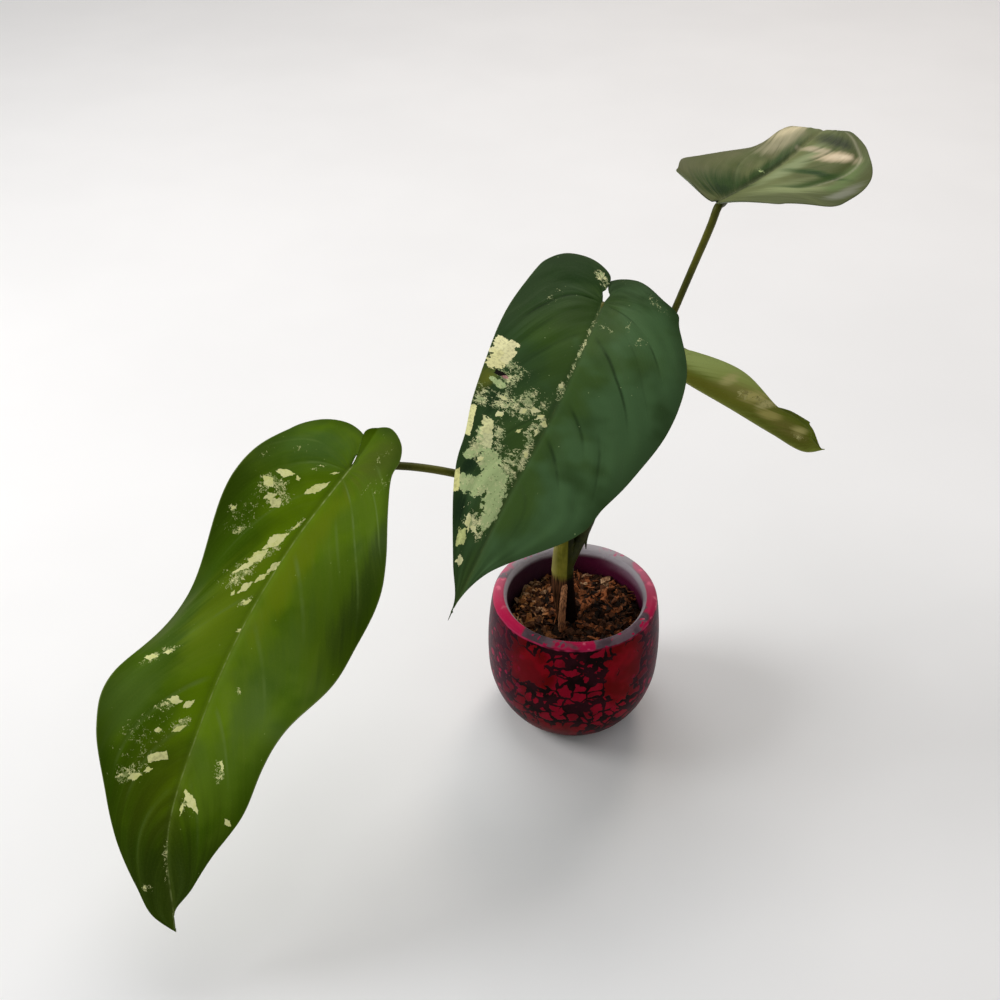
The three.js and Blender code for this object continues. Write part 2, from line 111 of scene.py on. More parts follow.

# Leaves, in millimetres and degrees: mid, face, roll, lobe, widths, fold, curl, wave, lift and
# petiole as in the part's source, the widths and bends a little finer. A pair is left and right.
# overlap: how far each lobe reaches over the midline; backs: how far back the corner, the end and
# the shoulder of each lobe lie, as a share of lobe; hole: half the gap between the lobes.
# taper: radii of the petiole from foot to joint, as shares of PETIOLE_RADIUS.
# sweep: how far the veins bend to the tip.
# quilt: rise of the blade between the veins.
# veins: half (0 left, 1 right), place on the midrib, start and end towards the margin, strength.
# hem: fold line inside the margin, as across and along.
# cream, pale, fleck, dust: marks on the flat leaf as across, along, half length, half width, turn.
# torn: raggedness of the cream marks; lace: density of the flecks.
# washes: the same after their colour, and last their strength; some are the leaf's own tones, some painted
# shade and painted highlights; spots: after colour and raggedness.
# edge: how much painted shade darkens the blade towards its margin.
LEAVES = {
    "left": dict(
        mid=[(-148, -19, 237), (-185, -72, 211), (-215, -128, 182),
             (-236, -172, 147), (-251, -220, 108), (-250, -245, 48)],
        face=(-0.1, -0.75, 0.65), roll=(-8, -2, -1), lobe=(29, 23),
        widths=([31, 63.5, 70, 59.5, 50, 42, 15.5, 0.5], [56, 57.5, 43, 63.7, 57.5, 40, 20.5, 13.5]),
        fold=((18, 12, 11), (10, 10, 10)), curl=((-18, -20, -10), (-23, -21, -10)),
        wave=((33, 2, 0.1), (30, 2, 0.9)), lift=(5, -5), overlap=(9, 1),
        backs=((0.72, 1, 0.78), (0.76, 1, 0.8)), hole=(0.9, 0.9),
        petiole=[(-8, 2, 142), (-24, 0, 176), (-50, -2, 202), (-85, -5, 217), (-121, -5, 223)],
        sweep=0.6, quilt=0.3,
        veins=[
            (0, 0.15, 0.02, 0.9, 1.0), (0, -0.06, 0.5, 0.9, 0.5), (0, 0.01, 0.6, 0.95, 0.9),
            (0, 0.22, 0.25, 0.6, 0.5), (0, 0.345, 0.1, 0.6, 0.7), (0, 0.47, 0.1, 0.7, 0.4),
            (0, 0.62, 0.1, 0.7, 0.5), (0, 0.74, 0.1, 0.7, 0.3),
            (1, 0.055, 0.08, 0.6, 0.7), (1, -0.05, 0.5, 0.95, 0.4), (1, 0.2, 0.1, 0.8, 0.3),
            (1, 0.43, 0.1, 0.85, 0.4), (1, 0.58, 0.1, 0.9, 0.6), (1, 0.66, 0.1, 0.8, 0.4),
            (1, 0.76, 0.1, 0.8, 0.3),
        ],
        cream=[
            (31.5, 32, 6.4, 3, 23), (36.5, 42.5, 5, 3.8, -19), (22.5, 30.5, 2.2, 2.2, 50),
            (29.5, 49.5, 4, 2.6, 54), (9, 29, 9, 3, 60), (6, 14.5, 3, 1, 45), (10, 70, 9.4, 4, 63),
            (14, 83.5, 8, 3.6, 65), (17.5, 92, 8, 1.8, 55), (2, 84.5, 5, 1.8, 74), (5, 93.5, 5.4, 1.6, 61),
            (11, 103, 5.6, 2, 64), (16, 109, 2.2, 1.4, 70), (5, 110.5, 3.4, 1.4, 54),
            (4.5, 56, 3.2, 1, 78), (1.5, 127.5, 2, 1.2, 62), (44, 66, 2.2, 1.2, 74),
            (46.5, 164, 4.6, 2.2, 25), (37, 157.5, 2.8, 1.7, 29), (19.5, 184.5, 5, 3, 10),
            (11, 184, 5, 2, 52), (11.5, 200.5, 4.8, 1.8, 41), (22.5, 205, 2.4, 1.8, 27),
            (27, 234, 5.6, 2, 28), (20, 228.5, 2.6, 2, 28), (-10.5, 240, 9.6, 3, -46),
            (-6, 246, 4, 1.4, -86), (-23.5, 215, 4.4, 1.2, -69), (-35.5, 248, 3.2, 2, -44),
        ],
        fleck=[
            (30, 44, 15, 11, 0), (17, 17.5, 7, 2, 58), (19, 98, 17, 8, 60), (8, 76, 8, 4, 62),
            (4.5, 55, 9, 1.8, 74), (6.5, 111, 8, 2.4, 54), (44, 66, 4, 3, 60), (33, 75, 7, 3.4, 60),
            (24, 190, 8, 4.4, 40), (12, 197, 10, 4.4, 40), (31, 233, 15, 6, 30), (-23, 219, 9, 4.4, -62),
            (-9, 243, 9, 4, -45), (41, 160, 18, 4, 46), (1, 280, 20, 1.8, 88), (-16.5, 165, 4, 2, -54),
            (13, 298, 5, 3, -24),
        ],
        dust=[
            (35, 11, 7, 5, 30), (50, 28, 10, 4, 86), (-15, -9, 12, 5, 75), (-27, 12, 14, 8, 60),
            (36, 66, 20, 12, 70), (30, 212, 24, 18, 60),
        ],
        spots=[
            ((0.62, 0.62, 0.28), 0.14, 24, 51, 3.2, 2.9, 31),
            ((0.6, 0.6, 0.26), 0.12, 17.5, 220, 5.6, 2.3, 28),
        ],
        washes=[
            ((0.1, 0.145, 0.001), -10, 75, 60, 9, 90, 0.8),
            ((0.05, 0.105, 0.02), 28, 4, 30, 14, 10, 0.5),
            ((0.052, 0.1, 0.012), -32, 150, 50, 12, 85, 0.5),
            ((0.066, 0.12, 0.014), 48, 195, 30, 14, 80, 0.7),
            ((0.095, 0.15, 0.006), 14, 130, 40, 14, 80, 0.6),
            ((0.022, 0.042, 0.0005), 0, 300, 60, 40, 90, 0.9),
            # Painted shade along both margins: this wash and the next
            ((0.03, 0.06, 0.001), 52, 70, 50, 10, 88, 0.7),
            ((0.03, 0.055, 0.006), -58, 60, 70, 9, 90, 0.8),
            ((0.05, 0.07, 0.001), 12, 236, 22, 30, 0, 0.5),
            ((0.066, 0.08, 0.012), -17, -8, 26, 14, 65, 0.5),
            ((0.12, 0.18, 0.004), 20, 118, 36, 12, 78, 0.5),
            ((0.16, 0.2, 0.07), 48, 140, 22, 6, 70, 0.5),
        ],
    ),
    "centre": dict(
        mid=[(14, 35, 328), (-7, -29, 318), (-25, -58, 292), (-49, -86, 258), (-86, -122, 190)],
        face=(-0.1, -0.75, 0.65), roll=(7, 5, 2), lobe=(29.5, 33.5),
        widths=([51.2, 66.3, 68.5, 60, 54, 49, 8, 0.5], [49, 53.5, 52, 47.5, 41.5, 36, 13, 2]),
        fold=((9, 9, 8), (10, 14, 10)), curl=((-21, -22, -11), (-24, -20, -10)),
        wave=((0, 1, 0), (0, 1, 0)), lift=(-4, -3), overlap=(6, 2),
        backs=((0.66, 1.07, 0.64), (0.7, 0.95, 0.83)), hole=(2.8, 3.8),
        petiole=[(-7, 4, 164), (-8, 10, 215), (0, 24, 280)],
        sweep=1, quilt=0.2, torn=0.42, lace=0.8,
        veins=[
            (0, 0.055, 0.05, 0.45, 0.7), (0, 0.06, 0.55, 0.75, 0.9), (0, 0.285, 0.08, 0.68, 0.9),
            (0, 0.5, 0.12, 0.5, 0.8), (0, 0.62, 0.08, 0.48, 0.7), (0, 0.43, 0.5, 0.9, 0.45),
            (0, 0.17, 0.3, 0.8, 0.25), (0, 0.75, 0.1, 0.6, 0.2),
            (1, 0.03, 0.1, 0.85, 0.8), (1, 0.285, 0.05, 0.6, 0.35), (1, 0.56, 0.12, 0.6, 0.45),
            (1, 0.15, 0.2, 0.8, 0.2), (1, 0.7, 0.1, 0.6, 0.2),
        ],
        cream=[
            (15, 204, 4.6, 2, -60), (10, 206, 3.4, 1.6, -20), (2, 125, 3.4, 2.4, -79),
            (11, 118, 4.6, 2.2, 20), (28.5, 135, 3.2, 2.2, 60), (31, 121, 2.6, 2.2, 0),
            (14, 140, 3, 1.4, 60), (4, 134, 3.2, 1.2, -80),
            (2.5, 88, 3.4, 1.4, -79), (17, 123, 4, 2.4, 60), (6, 121, 4, 1.8, 60), (2.8, 153, 3.6, 1.6, -80),
            (26, 172, 4, 1.4, 60), (9.5, 221, 2.8, 1.8, -60),
        ],
        pale=[
            (20, 170, 9, 7, -60), (13, 179, 13, 8.5, -60), (7, 190, 12, 6, -74), (21, 188, 9, 4.4, -10),
            (28, 189, 6, 3.6, -20), (5, 198, 7, 4, 80), (38, 110.5, 6.4, 3.2, -20), (30, 158, 10, 5, -72),
            (31.5, 169.5, 6.4, 3.2, 60),
        ],
        fleck=[
            (0.6, 50, 40, 1.6, 90), (1.6, 92, 12, 3, -84), (17, 117, 21, 13, 62), (6, 132, 17, 5.5, 80),
            (3, 155, 22, 4, -85), (8, 166, 17, 8, -75), (31, 124, 14, 9, -80), (44, 127, 14, 7, -86),
            (11, 204, 12, 6, -30), (34, 98, 18, 10, -76), (7, -16, 12, 5.5, -62), (30, 166, 14, 7, -60),
            (22, 152, 20, 5, -66),
        ],
        dust=[
            (-8, 28, 9, 4, -20), (-22, 20, 9, 5, 70), (-31, 30, 8, 5, 60), (-30, -13, 11, 5, -46),
            (-39, -7, 8, 4, -40), (27, 94, 12, 7, 80), (30, 20, 12, 5, 70),
        ],
        washes=[
            ((0.042, 0.095, 0.003), 28, 46, 22, 12, 80, 0.4),
            # Painted shade near the joint on the left half: this wash and the next two
            ((0.018, 0.045, 0.004), 10, 20, 34, 10, 60, 0.6),
            ((0.006, 0.03, 0.002), 26, -14, 48, 20, 0, 0.8),
            ((0.01, 0.034, 0.003), 42, 22, 40, 17, 78, 0.75),
            ((0.05, 0.1, 0.03), 10, 112, 34, 14, 75, 0.6),
            ((0.21, 0.23, 0.025), 47.5, 111, 12, 6, 88, 0.9),
            ((0.012, 0.03, 0.012), 30, 179, 7, 4.5, 80, 0.95),
            ((0.012, 0.03, 0.012), 24, 200, 9, 4, -70, 0.95),
            ((0.015, 0.035, 0.012), 36, 125, 14, 9, 85, 0.7),
        ],
        spots=[
            ((0.96, 0.92, 0.5), 0.34, 44.5, 79, 9.5, 7, 84),
            ((0.9, 0.86, 0.42), 0.34, 45, 91, 8.5, 5.4, 84),
            ((0.86, 0.82, 0.44), 0.3, 39.5, 84, 7, 3, 80),
            ((1.0, 0.98, 0.46), 0.07, 43, 150, 11.3, 2.4, -77),
            ((0.84, 0.84, 0.42), 0.4, 31.5, 149, 7, 3.6, -72),
            ((0.74, 0.76, 0.4), 0.4, 27.5, 158, 5, 3, -72),
            ((0.92, 0.9, 0.36), 0.2, 33, 189.5, 6, 2.2, -60),
            ((0.66, 0.72, 0.28), 0.45, 15, 211.5, 4, 2.4, -70),
            ((0.012, 0.01, 0.008), 0.12, 39.5, 101.5, 3.6, 2.2, 0),
            ((0.55, 0.28, 0.26), 0.15, 36, 103, 2, 1.4, 40),
        ],
    ),
    "upper": dict(
        mid=[(83, 55, 385), (112, 104, 375), (143, 148, 372), (181, 211, 369), (190, 254, 340)],
        face=(0, -0.2, 1), roll=(3, 4, 5), lobe=(20.5, 16),
        widths=([33.5, 42.3, 36, 25, 24.5, 20, 7, 2], [45, 60.5, 61.5, 58, 42, 21, 8, 2]),
        fold=((32, 11, -7), (26, 9, 3)), curl=((-18, -23, -13), (-31, -31, -12)),
        wave=((0, 1, 0), (0, 1, 0)), lift=(6.6, 2), overlap=(0, 0), backs=((0.5, 1, 0.8), (0.76, 1, 0.8)),
        petiole=[(-5, 2, 138), (8, 11, 165), (36, 38, 238), (63.7, 56, 312), (80.8, 55.5, 369)],
        taper=[1.9, 1.5, 1.1, 0.92, 0.84, 0.8, 0.8, 0.88],
        sweep=1, quilt=0.08,
        veins=[
            (0, 0.29, 0.05, 0.7, 0.8), (0, 0.5, 0.1, 0.7, 0.3), (1, 0.56, 0.2, 0.75, 0.9),
            (1, 0.62, 0.15, 0.8, 0.6), (1, 0.49, 0.2, 0.7, 0.5), (1, 0.68, 0.2, 0.8, 0.5),
        ],
        hem=[(8, 42), (18, 53), (31, 73), (37.6, 100), (42.5, 127), (41, 145), (31, 158), (17, 175)],
        cream=[(-4, 85, 1.6, 1, 40)], fleck=[(-5, 86, 5, 3, 40)],
        washes=[
            ((0.11, 0.122, 0.04), -33, 45, 46, 10, 90, 0.85),
            ((0.09, 0.12, 0.03), -20, 85, 40, 7, 88, 0.6),
            ((0.05, 0.085, 0.018), -16, 34, 36, 9, 78, 0.8),
            ((0.74, 0.64, 0.4), -18, 158, 20, 7, 80, 0.9),
            ((0.36, 0.33, 0.2), -14, 140, 26, 7, 80, 0.8),
            ((0.26, 0.31, 0.15), 9, 108, 48, 6, 86, 0.85),
            ((0.28, 0.33, 0.14), 30, 62, 40, 11, 75, 0.8),
            ((0.13, 0.2, 0.06), 46, 118, 36, 6, 92, 0.85),
            ((0.28, 0.29, 0.22), 55, 90, 28, 3.6, 86, 0.85),
            # Painted shade: this and the next seven dark washes, along the midrib's groove and the blade's
            # folds
            ((0.02, 0.06, 0.004), -9, 30, 34, 9, 78, 0.95),
            ((0.008, 0.035, 0.001), -6, 18, 18, 6, 75, 0.95),
            ((0.02, 0.06, 0.005), -3.5, 90, 66, 4, 92, 0.95),
            ((0.01, 0.035, 0.002), -1.8, 95, 60, 1.8, 91, 0.9),
            ((0.02, 0.065, 0.005), 29, 108, 21, 5.5, 22, 0.95),
            ((0.008, 0.04, 0.002), 33, 109, 15, 3.6, 22, 0.95),
            ((0.04, 0.055, 0.022), 17, 157, 15, 9, -10, 0.95),
            ((0.02, 0.03, 0.012), 20, 155, 9, 4, -10, 0.7),
            # Painted highlight: the three beige washes below
            ((0.66, 0.53, 0.35), 28, 138, 15, 6.4, 28, 0.95),
            ((0.5, 0.42, 0.28), 11, 141, 11, 4, 5, 0.85),
            ((0.78, 0.66, 0.46), 31, 140, 8, 2.8, 28, 0.7),
        ],
        edge=0.2,
    ),
    "young": dict(
        mid=[(50, 82, 258), (78, 81, 237.3), (112, 79, 215.7),
             (144, 76, 195.2), (169, 73, 181), (182, 71, 184)],
        face=(0, 0.5, 0.87), roll=(-20, 8, 0), lobe=(18, 18),
        widths=([16, 19, 21, 18, 22.5, 23.5, 18, 1.5], [16.5, 23, 26.8, 18, 18, 16, 10, 1]),
        fold=((95, 65, 58), (35, 62, 48)), curl=((45, 25, 0), (45, 45, 12)),
        wave=((0, 1, 0), (0, 1, 0)), lift=(0, 0), overlap=(0, 0), backs=((0.76, 1, 0.8), (0.76, 1, 0.8)),
        petiole=[(-6, 5, 158), (-2, 26, 194), (18, 60, 230)],
        sweep=0.8, quilt=0.05,
        veins=[(1, 0.62, 0.3, 1, 0.4), (0, 0.4, 0.2, 0.8, 0.2)],
        fleck=[(14, 70, 18, 5, 80), (8, 112, 10, 3, 80)],
        washes=[
            # Painted highlight along the top of the rolled blade: this wash and the next; painted shade
            # below it: the two olive ones after them
            ((0.48, 0.58, 0.18), 21, 34, 44, 10, 82, 0.95),
            ((0.38, 0.44, 0.11), 20, 60, 24, 7, 82, 0.8),
            ((0.15, 0.155, 0.012), 4, 45, 40, 6, 85, 0.9),
            ((0.1, 0.11, 0.008), 4, 105, 36, 7, 85, 0.9),
            ((0.24, 0.21, 0.05), 14, 66, 20, 6, 85, 0.7),
            ((0.2, 0.17, 0.04), 9, 100, 18, 5, 85, 0.6),
            ((0.12, 0.17, 0.015), -14, 118, 26, 8, 90, 0.8),
            ((0.56, 0.52, 0.2), 18, 51, 6, 3.4, 30, 0.9),
            ((0.54, 0.48, 0.16), 15, 69, 8, 4, 60, 0.9),
            ((0.58, 0.52, 0.22), 15, 78, 6, 2.8, 40, 0.85),
            ((0.46, 0.4, 0.12), 10, 84, 7, 3.4, 70, 0.8),
            ((0.5, 0.45, 0.16), 12, 108, 7, 2.8, 75, 0.85),
        ],
        edge=0,
    ),
}

# Outline of a half leaf, and how its rows are spread
LOBE = [
    (0.1, 0.05), (-0.08, 0.065), (-0.24, 0.045), (-0.76, 0.1), (-1, 0.36), (-0.8, 0.7), (-0.38, 0.93),
]
LOBE_ENDS = (3, 4, 5)     # the three points of it that each leaf sets for itself
LOBE_OVERLAP = [0, 0, 0.35, 1, 0.4, 0, 0]
JOINT_SETBACK = 3         # how far the two halves part in front of the joint
STATIONS = [0, 0.15, 0.35, 0.55, 0.65, 0.75, 0.9, 0.96, 1]
LOBE_SHARE = 0.25         # the lobes' rows count as this much length behind the joint
ROWS_PER_SPAN = 22
COLUMNS = 38
COLUMN_CROWDING = 1.25    # more draws the columns closer together towards the margin
FIELD_SPACING = 0.115     # share of the length from one raised field to the next
VEIN_DEPTH = 0.6
VEIN_WIDTH = 2.2
SIDE_RIB_DEPTH = 0.3
GROOVE_DEPTH = 0.7        # of the midrib's groove in the upper side
GROOVE_WIDTH = 1.6
RIPPLE = 0.12
MARGIN_THINNING = 0.45    # share of the thickness that the blade loses at its margin
FAN_START = 0.2           # where the rows' roots begin to move along the midrib
FAN_SOFTNESS = 0.12

# Hem of the upper leaf: where along it the valley, the painted shade on its inner side and the painted
# highlight on its crest come and go
HEM_DEPTH = 1.8
HEM_WIDTH = 5
HEM_RISES = (45, 75)
HEM_ENDS = (150, 180)
STRIP_ENDS = (112, 135)
CREST_RISES = (60, 110)

# How leaves are marked that don't say so themselves
MARGIN_SHADE = 0.5
CREAM_RAGGEDNESS = 0.24
LACE_DENSITY = 0.72
DUST_DENSITY = 0.36


# Curves and meshes

WELD_DISTANCE = 0.02


def spline(points, u):
    """Centripetal Catmull-Rom curve through the points, u from 0 to 1 over the whole of it."""
    points = np.asarray(points, float)
    spans = len(points) - 1
    carried = np.vstack([2 * points[0] - points[1], points, 2 * points[-1] - points[-2]])
    place = np.clip(u, 0, 1) * spans
    i = np.minimum(np.floor(place).astype(int), spans - 1)
    w = (place - i)[..., None]
    p0, p1, p2, p3 = carried[i], carried[i + 1], carried[i + 2], carried[i + 3]
    d0, d1, d2 = (np.sqrt(np.linalg.norm(b - a, axis=-1))[..., None]
                  for a, b in ((p0, p1), (p1, p2), (p2, p3)))
    t1 = ((p1 - p0) / d0 - (p2 - p0) / (d0 + d1) + (p2 - p1) / d1) * d1
    t2 = ((p2 - p1) / d1 - (p3 - p1) / (d1 + d2) + (p3 - p2) / d2) * d1
    return p1 + t1 * w + (3 * (p2 - p1) - 2 * t1 - t2) * w**2 + (2 * (p1 - p2) + t1 + t2) * w**3


def blend(values, t):
    a, b, c = values
    return a * (1 - t)**2 + 2 * b * t * (1 - t) + c * t**2


def soft_step(x, low, high):
    t = np.clip((x - low) / (high - low), 0, 1)
    return t * t * (3 - 2 * t)


def unit(vectors):
    return vectors / np.linalg.norm(vectors, axis=-1, keepdims=True)


def steps_between(points):
    return np.linalg.norm(np.diff(points, axis=0), axis=1)


def mesh_from(name, points, faces, edges=(), **attributes):
    """Mesh from points in millimetres; attributes are one number or one vector a point."""
    mesh = bpy.data.meshes.new(name)
    mesh.from_pydata((np.asarray(points, float) * MM).tolist(), edges, faces)
    for key, values in attributes.items():
        values = np.asarray(values, np.float32)
        kind, slot = ("FLOAT_VECTOR", "vector") if values.ndim == 2 else ("FLOAT", "value")
        mesh.attributes.new(key, kind, "POINT").data.foreach_set(slot, values.ravel())
    mesh.update()
    return mesh


def weld(mesh):
    """Merges doubled points and turns all faces outwards."""
    work = bmesh.new()
    work.from_mesh(mesh)
    bmesh.ops.remove_doubles(work, verts=work.verts, dist=WELD_DISTANCE * MM)
    bmesh.ops.dissolve_degenerate(work, edges=work.edges, dist=1e-7)
    bmesh.ops.recalc_face_normals(work, faces=work.faces)
    work.to_mesh(mesh)
    work.free()
    mesh.shade_smooth()
    mesh.update()


def piece_from(name, mesh, material):
    piece = bpy.data.objects.new(name, mesh)
    bpy.context.scene.collection.objects.link(piece)
    mesh.materials.clear()
    mesh.materials.append(material)
    return piece


def seat(piece, node):
    """The piece stands for the named solid, which it hides, and hangs under the root body."""
    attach(piece, "root")
    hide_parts(node)


# Leaf blades

class Blade:
    """One leaf's surface, with side -1 for its left half and 1 for its right."""

    def __init__(self, leaf):
        self.leaf = leaf
        self.length = steps_between(spline(leaf["mid"], np.linspace(0, 1, 201))).sum()

    def frame(self, distance):
        """Along the midrib: share of the length, point, direction across and normal."""
        t = np.clip(distance / self.length, 0, 1)
        nudge = 1e-3
        mid = self.leaf["mid"]
        forward = unit(spline(mid, t + nudge) - spline(mid, t - nudge))
        across = unit(np.cross(forward, self.leaf["face"]))
        up = np.cross(across, forward)
        roll = np.radians(blend(self.leaf["roll"], t))[..., None]
        point = spline(mid, t) + forward * np.minimum(distance, 0)[..., None]
        sideways = across * np.cos(roll) + up * np.sin(roll)
        normal = up * np.cos(roll) - across * np.sin(roll)
        return t, point, sideways, normal

    def place(self, distance, across, side):
        """Where a place of the flat half leaf comes to lie once the leaf is folded and curled."""
        half = 0 if side < 0 else 1
        t, point, sideways, normal = self.frame(distance)
        width = max(self.leaf["widths"][half])
        swing, waves, phase = self.leaf["wave"][half]
        share = np.maximum(distance / self.length, -0.3)
        fold = np.radians(blend(self.leaf["fold"][half], t))
        bend = blend(self.leaf["curl"][half], t) + swing * np.sin(2 * np.pi * (waves * share + phase))
        curl = np.radians(bend)
        curl = np.where(np.abs(curl) < 1e-3, 1e-3, curl)
        back = np.minimum(distance, 0) / self.leaf["lobe"][half]
        tilt = fold + curl * np.abs(across) / width
        rise = width / curl * (np.cos(fold) - np.cos(tilt)) + self.leaf["lift"][half] * back**2
        out = side * width / curl * (np.sin(fold + curl * across / width) - np.sin(fold))
        return point + sideways * out[..., None] + normal * rise[..., None]

    def margin(self, half, u):
        """Along and across of the margin of one half, and the row's share of the length."""
        widths = [*self.leaf["widths"][half], 0]
        reach = self.leaf["lobe"][half]
        overlap = self.leaf["overlap"][half]
        outline = [(back * reach, out * widths[0] - over * overlap)
                   for (back, out), over in zip(LOBE, LOBE_OVERLAP)]
        for point, back in zip(LOBE_ENDS, self.leaf["backs"][half]):
            outline[point] = (-back * reach, outline[point][1])
        outline += [(share * self.length, width) for share, width in zip(STATIONS, widths)]
        edge = spline(outline, u)
        place = u * (len(outline) - 1)
        lobe_rows = len(LOBE)
        station = np.interp(place - lobe_rows, range(len(STATIONS)), STATIONS)
        share = np.where(place < lobe_rows, LOBE_SHARE * (place / lobe_rows - 1), station)
        across = np.where(edge[:, 0] > 0, np.maximum(edge[:, 1], 0), edge[:, 1])
        return edge[:, 0], across, share

    def root(self, share):
        """Where on the midrib a row starts: rows of the lobes fan out from close to the joint."""
        def ease(s):
            place = (s - FAN_START) / (1 - FAN_START)
            return 0.5 * (place + np.hypot(place, FAN_SOFTNESS))
        return self.length * ease(share) / ease(1) + JOINT_SETBACK * (1 - share)

    def grid(self, half):
        """Every point of one half: along and across, vein place on the midrib, share outwards."""
        spans = len(LOBE) + len(STATIONS) - 1
        u = np.linspace(0, 1, spans * ROWS_PER_SPAN + 1)
        along_edge, across_edge, share = self.margin(half, u)
        w = 1 - (1 - np.linspace(0, 1, COLUMNS + 1))**COLUMN_CROWDING
        root = self.root(share)[:, None]
        along = root + (along_edge[:, None] - root) * w
        # Rows near the joint bow outwards, so that the hole between the lobes stays open
        beside_hole = soft_step(-along_edge, 2, 7) * (1 - soft_step(across_edge, 3, 14))
        bow = self.leaf.get("hole", (0, 0))[half] * beside_hole[:, None] * np.sin(np.pi * w)
        across = across_edge[:, None] * w + bow
        fan = np.clip((share + LOBE_SHARE) / 0.4, 0.2, 1)[:, None]
        vein = share[:, None] - self.leaf["sweep"] * fan * (0.05 * w + 0.25 * w**2)
        return along, across, vein, np.broadcast_to(w, along.shape)

    def creases(self, half, vein, w):
        """How deep the named veins lie at each point, 1 at the bottom of a full one."""
        depth = np.zeros_like(w)
        for vein_half, place, start, end, strength in self.leaf["veins"]:
            if vein_half != half:
                continue
            line = np.exp(-((vein - place) * self.length / VEIN_WIDTH)**2)
            shows = soft_step(w, start - 0.05, start + 0.08) * (1 - soft_step(w, end - 0.15, end + 0.05))
            depth = np.maximum(depth, strength * line * shows)
        return depth

    def hem(self, along, across):
        """Fold line inside the margin: its depth, the painted shade on its inner side, the painted highlight
        on its crest.
        """
        if "hem" not in self.leaf:
            return np.zeros((3, *along.shape))
        path = spline(self.leaf["hem"], np.linspace(0, 1, 60))
        nearest = np.full_like(along, 1e9)
        inward = np.zeros_like(along)
        for (x0, y0), (x1, y1) in zip(path[:-1], path[1:]):
            run = np.array([x1 - x0, y1 - y0])
            t = np.clip(((across - x0) * run[0] + (along - y0) * run[1]) / (run @ run), 0, 1)
            dx = across - x0 - t * run[0]
            dy = along - y0 - t * run[1]
            gap = np.hypot(dx, dy)
            inward = np.where(gap < nearest, np.sign(run[0] * dy - run[1] * dx) * gap, inward)
            nearest = np.minimum(gap, nearest)
        shows = soft_step(along, *HEM_RISES) * (1 - soft_step(along, *HEM_ENDS))
        valley = -HEM_DEPTH * np.exp(-(nearest / HEM_WIDTH)**2) * shows
        strip = np.exp(-((inward - 2.5) / 3)**2) * shows * (1 - soft_step(along, *STRIP_ENDS))
        crest = np.exp(-((inward + 1) / 0.9)**2) * soft_step(along, *CREST_RISES)
        return valley, strip, crest


def closed_blade(name, blade):
    """Blade as a closed body: its upper side, its lower side with the ribs, and its margin."""
    halves = []
    for half, side in ((0, -1), (1, 1)):
        along, across, vein, w = blade.grid(half)
        crease = blade.creases(half, vein, w)
        halves.append((along, across, vein, w, crease, side * across, blade.place(along, across, side)))
    rows, columns = halves[0][0].shape
    width = 2 * columns - 1

    def sheet(item):
        """Both halves side by side, from the left margin over the midrib to the right margin."""
        return np.concatenate([halves[0][item][:, ::-1], halves[1][item][:, 1:]], axis=1)

    along, across, vein, w, crease, signed, surface = (sheet(item) for item in range(7))
    normal = unit(np.cross(np.gradient(surface, axis=1), np.gradient(surface, axis=0)) + 1e-9)
    facing = np.sign((normal * blade.frame(along)[3]).sum(-1, keepdims=True))
    normal = normal * np.where(facing == 0, 1, facing)
    normal[0], normal[-1] = normal[1], normal[-2]

    inside = 1 - soft_step(w, 0.78, 1)
    on_midrib = soft_step(along, 0, 5)
    field = blade.leaf["quilt"] * np.cos(2 * np.pi * vein / FIELD_SPACING) * np.sin(np.pi * w)
    ripple = RIPPLE * np.sin(0.2 * across + 40 * vein) * np.sin(60 * vein + 2.3 * w)
    valley, strip, crest = blade.hem(along, signed)
    groove = GROOVE_DEPTH * np.exp(-(across / GROOVE_WIDTH)**2) * on_midrib
    raised = soft_step(across, 0, 6) * (field + ripple)
    relief = inside * (raised - VEIN_DEPTH * crease) + valley - groove
    t = np.clip(along / blade.length, 0, 1)
    thickness = BLADE_THICKNESS * (1 - MARGIN_THINNING * soft_step(w, 0.9, 1))
    rib = RIB_DEPTH * (1 - t)**0.8 * np.exp(-(across / (1.2 + 1.6 * (1 - t)))**2) * on_midrib
    side_rib = SIDE_RIB_DEPTH * crease * inside
    upper = surface + normal * relief[..., None]
    lower = surface + normal * (relief + groove - thickness - rib - side_rib)[..., None]

    count = rows * width
    index = np.arange(count).reshape(rows, width)
    a, b, c, d = index[:-1, :-1], index[:-1, 1:], index[1:, 1:], index[1:, :-1]
    quads = np.stack([a, d, c, b], -1).reshape(-1, 4)
    rim = np.concatenate([index[0, :-1], index[:-1, -1], index[-1, :0:-1], index[:0:-1, 0]])
    rim_next = np.roll(rim, -1)
    edge = np.stack([rim, rim_next, rim_next + count, rim + count], -1)
    faces = np.concatenate([quads, quads[:, ::-1] + count, edge])
    points = np.concatenate([upper.reshape(-1, 3), lower.reshape(-1, 3)])

    def twice(values):
        return np.concatenate([values.reshape(count, -1)] * 2).squeeze()

    chart = np.stack([signed, along, np.zeros_like(along)], -1)
    mesh = mesh_from(
        name, points, faces.tolist(), chart=twice(chart), vein=twice(vein), outward=twice(w),
        strip=twice(strip), crest=twice(crest), under=np.repeat([0.0, 1.0], count))
    weld(mesh)
    return mesh


# Node trees

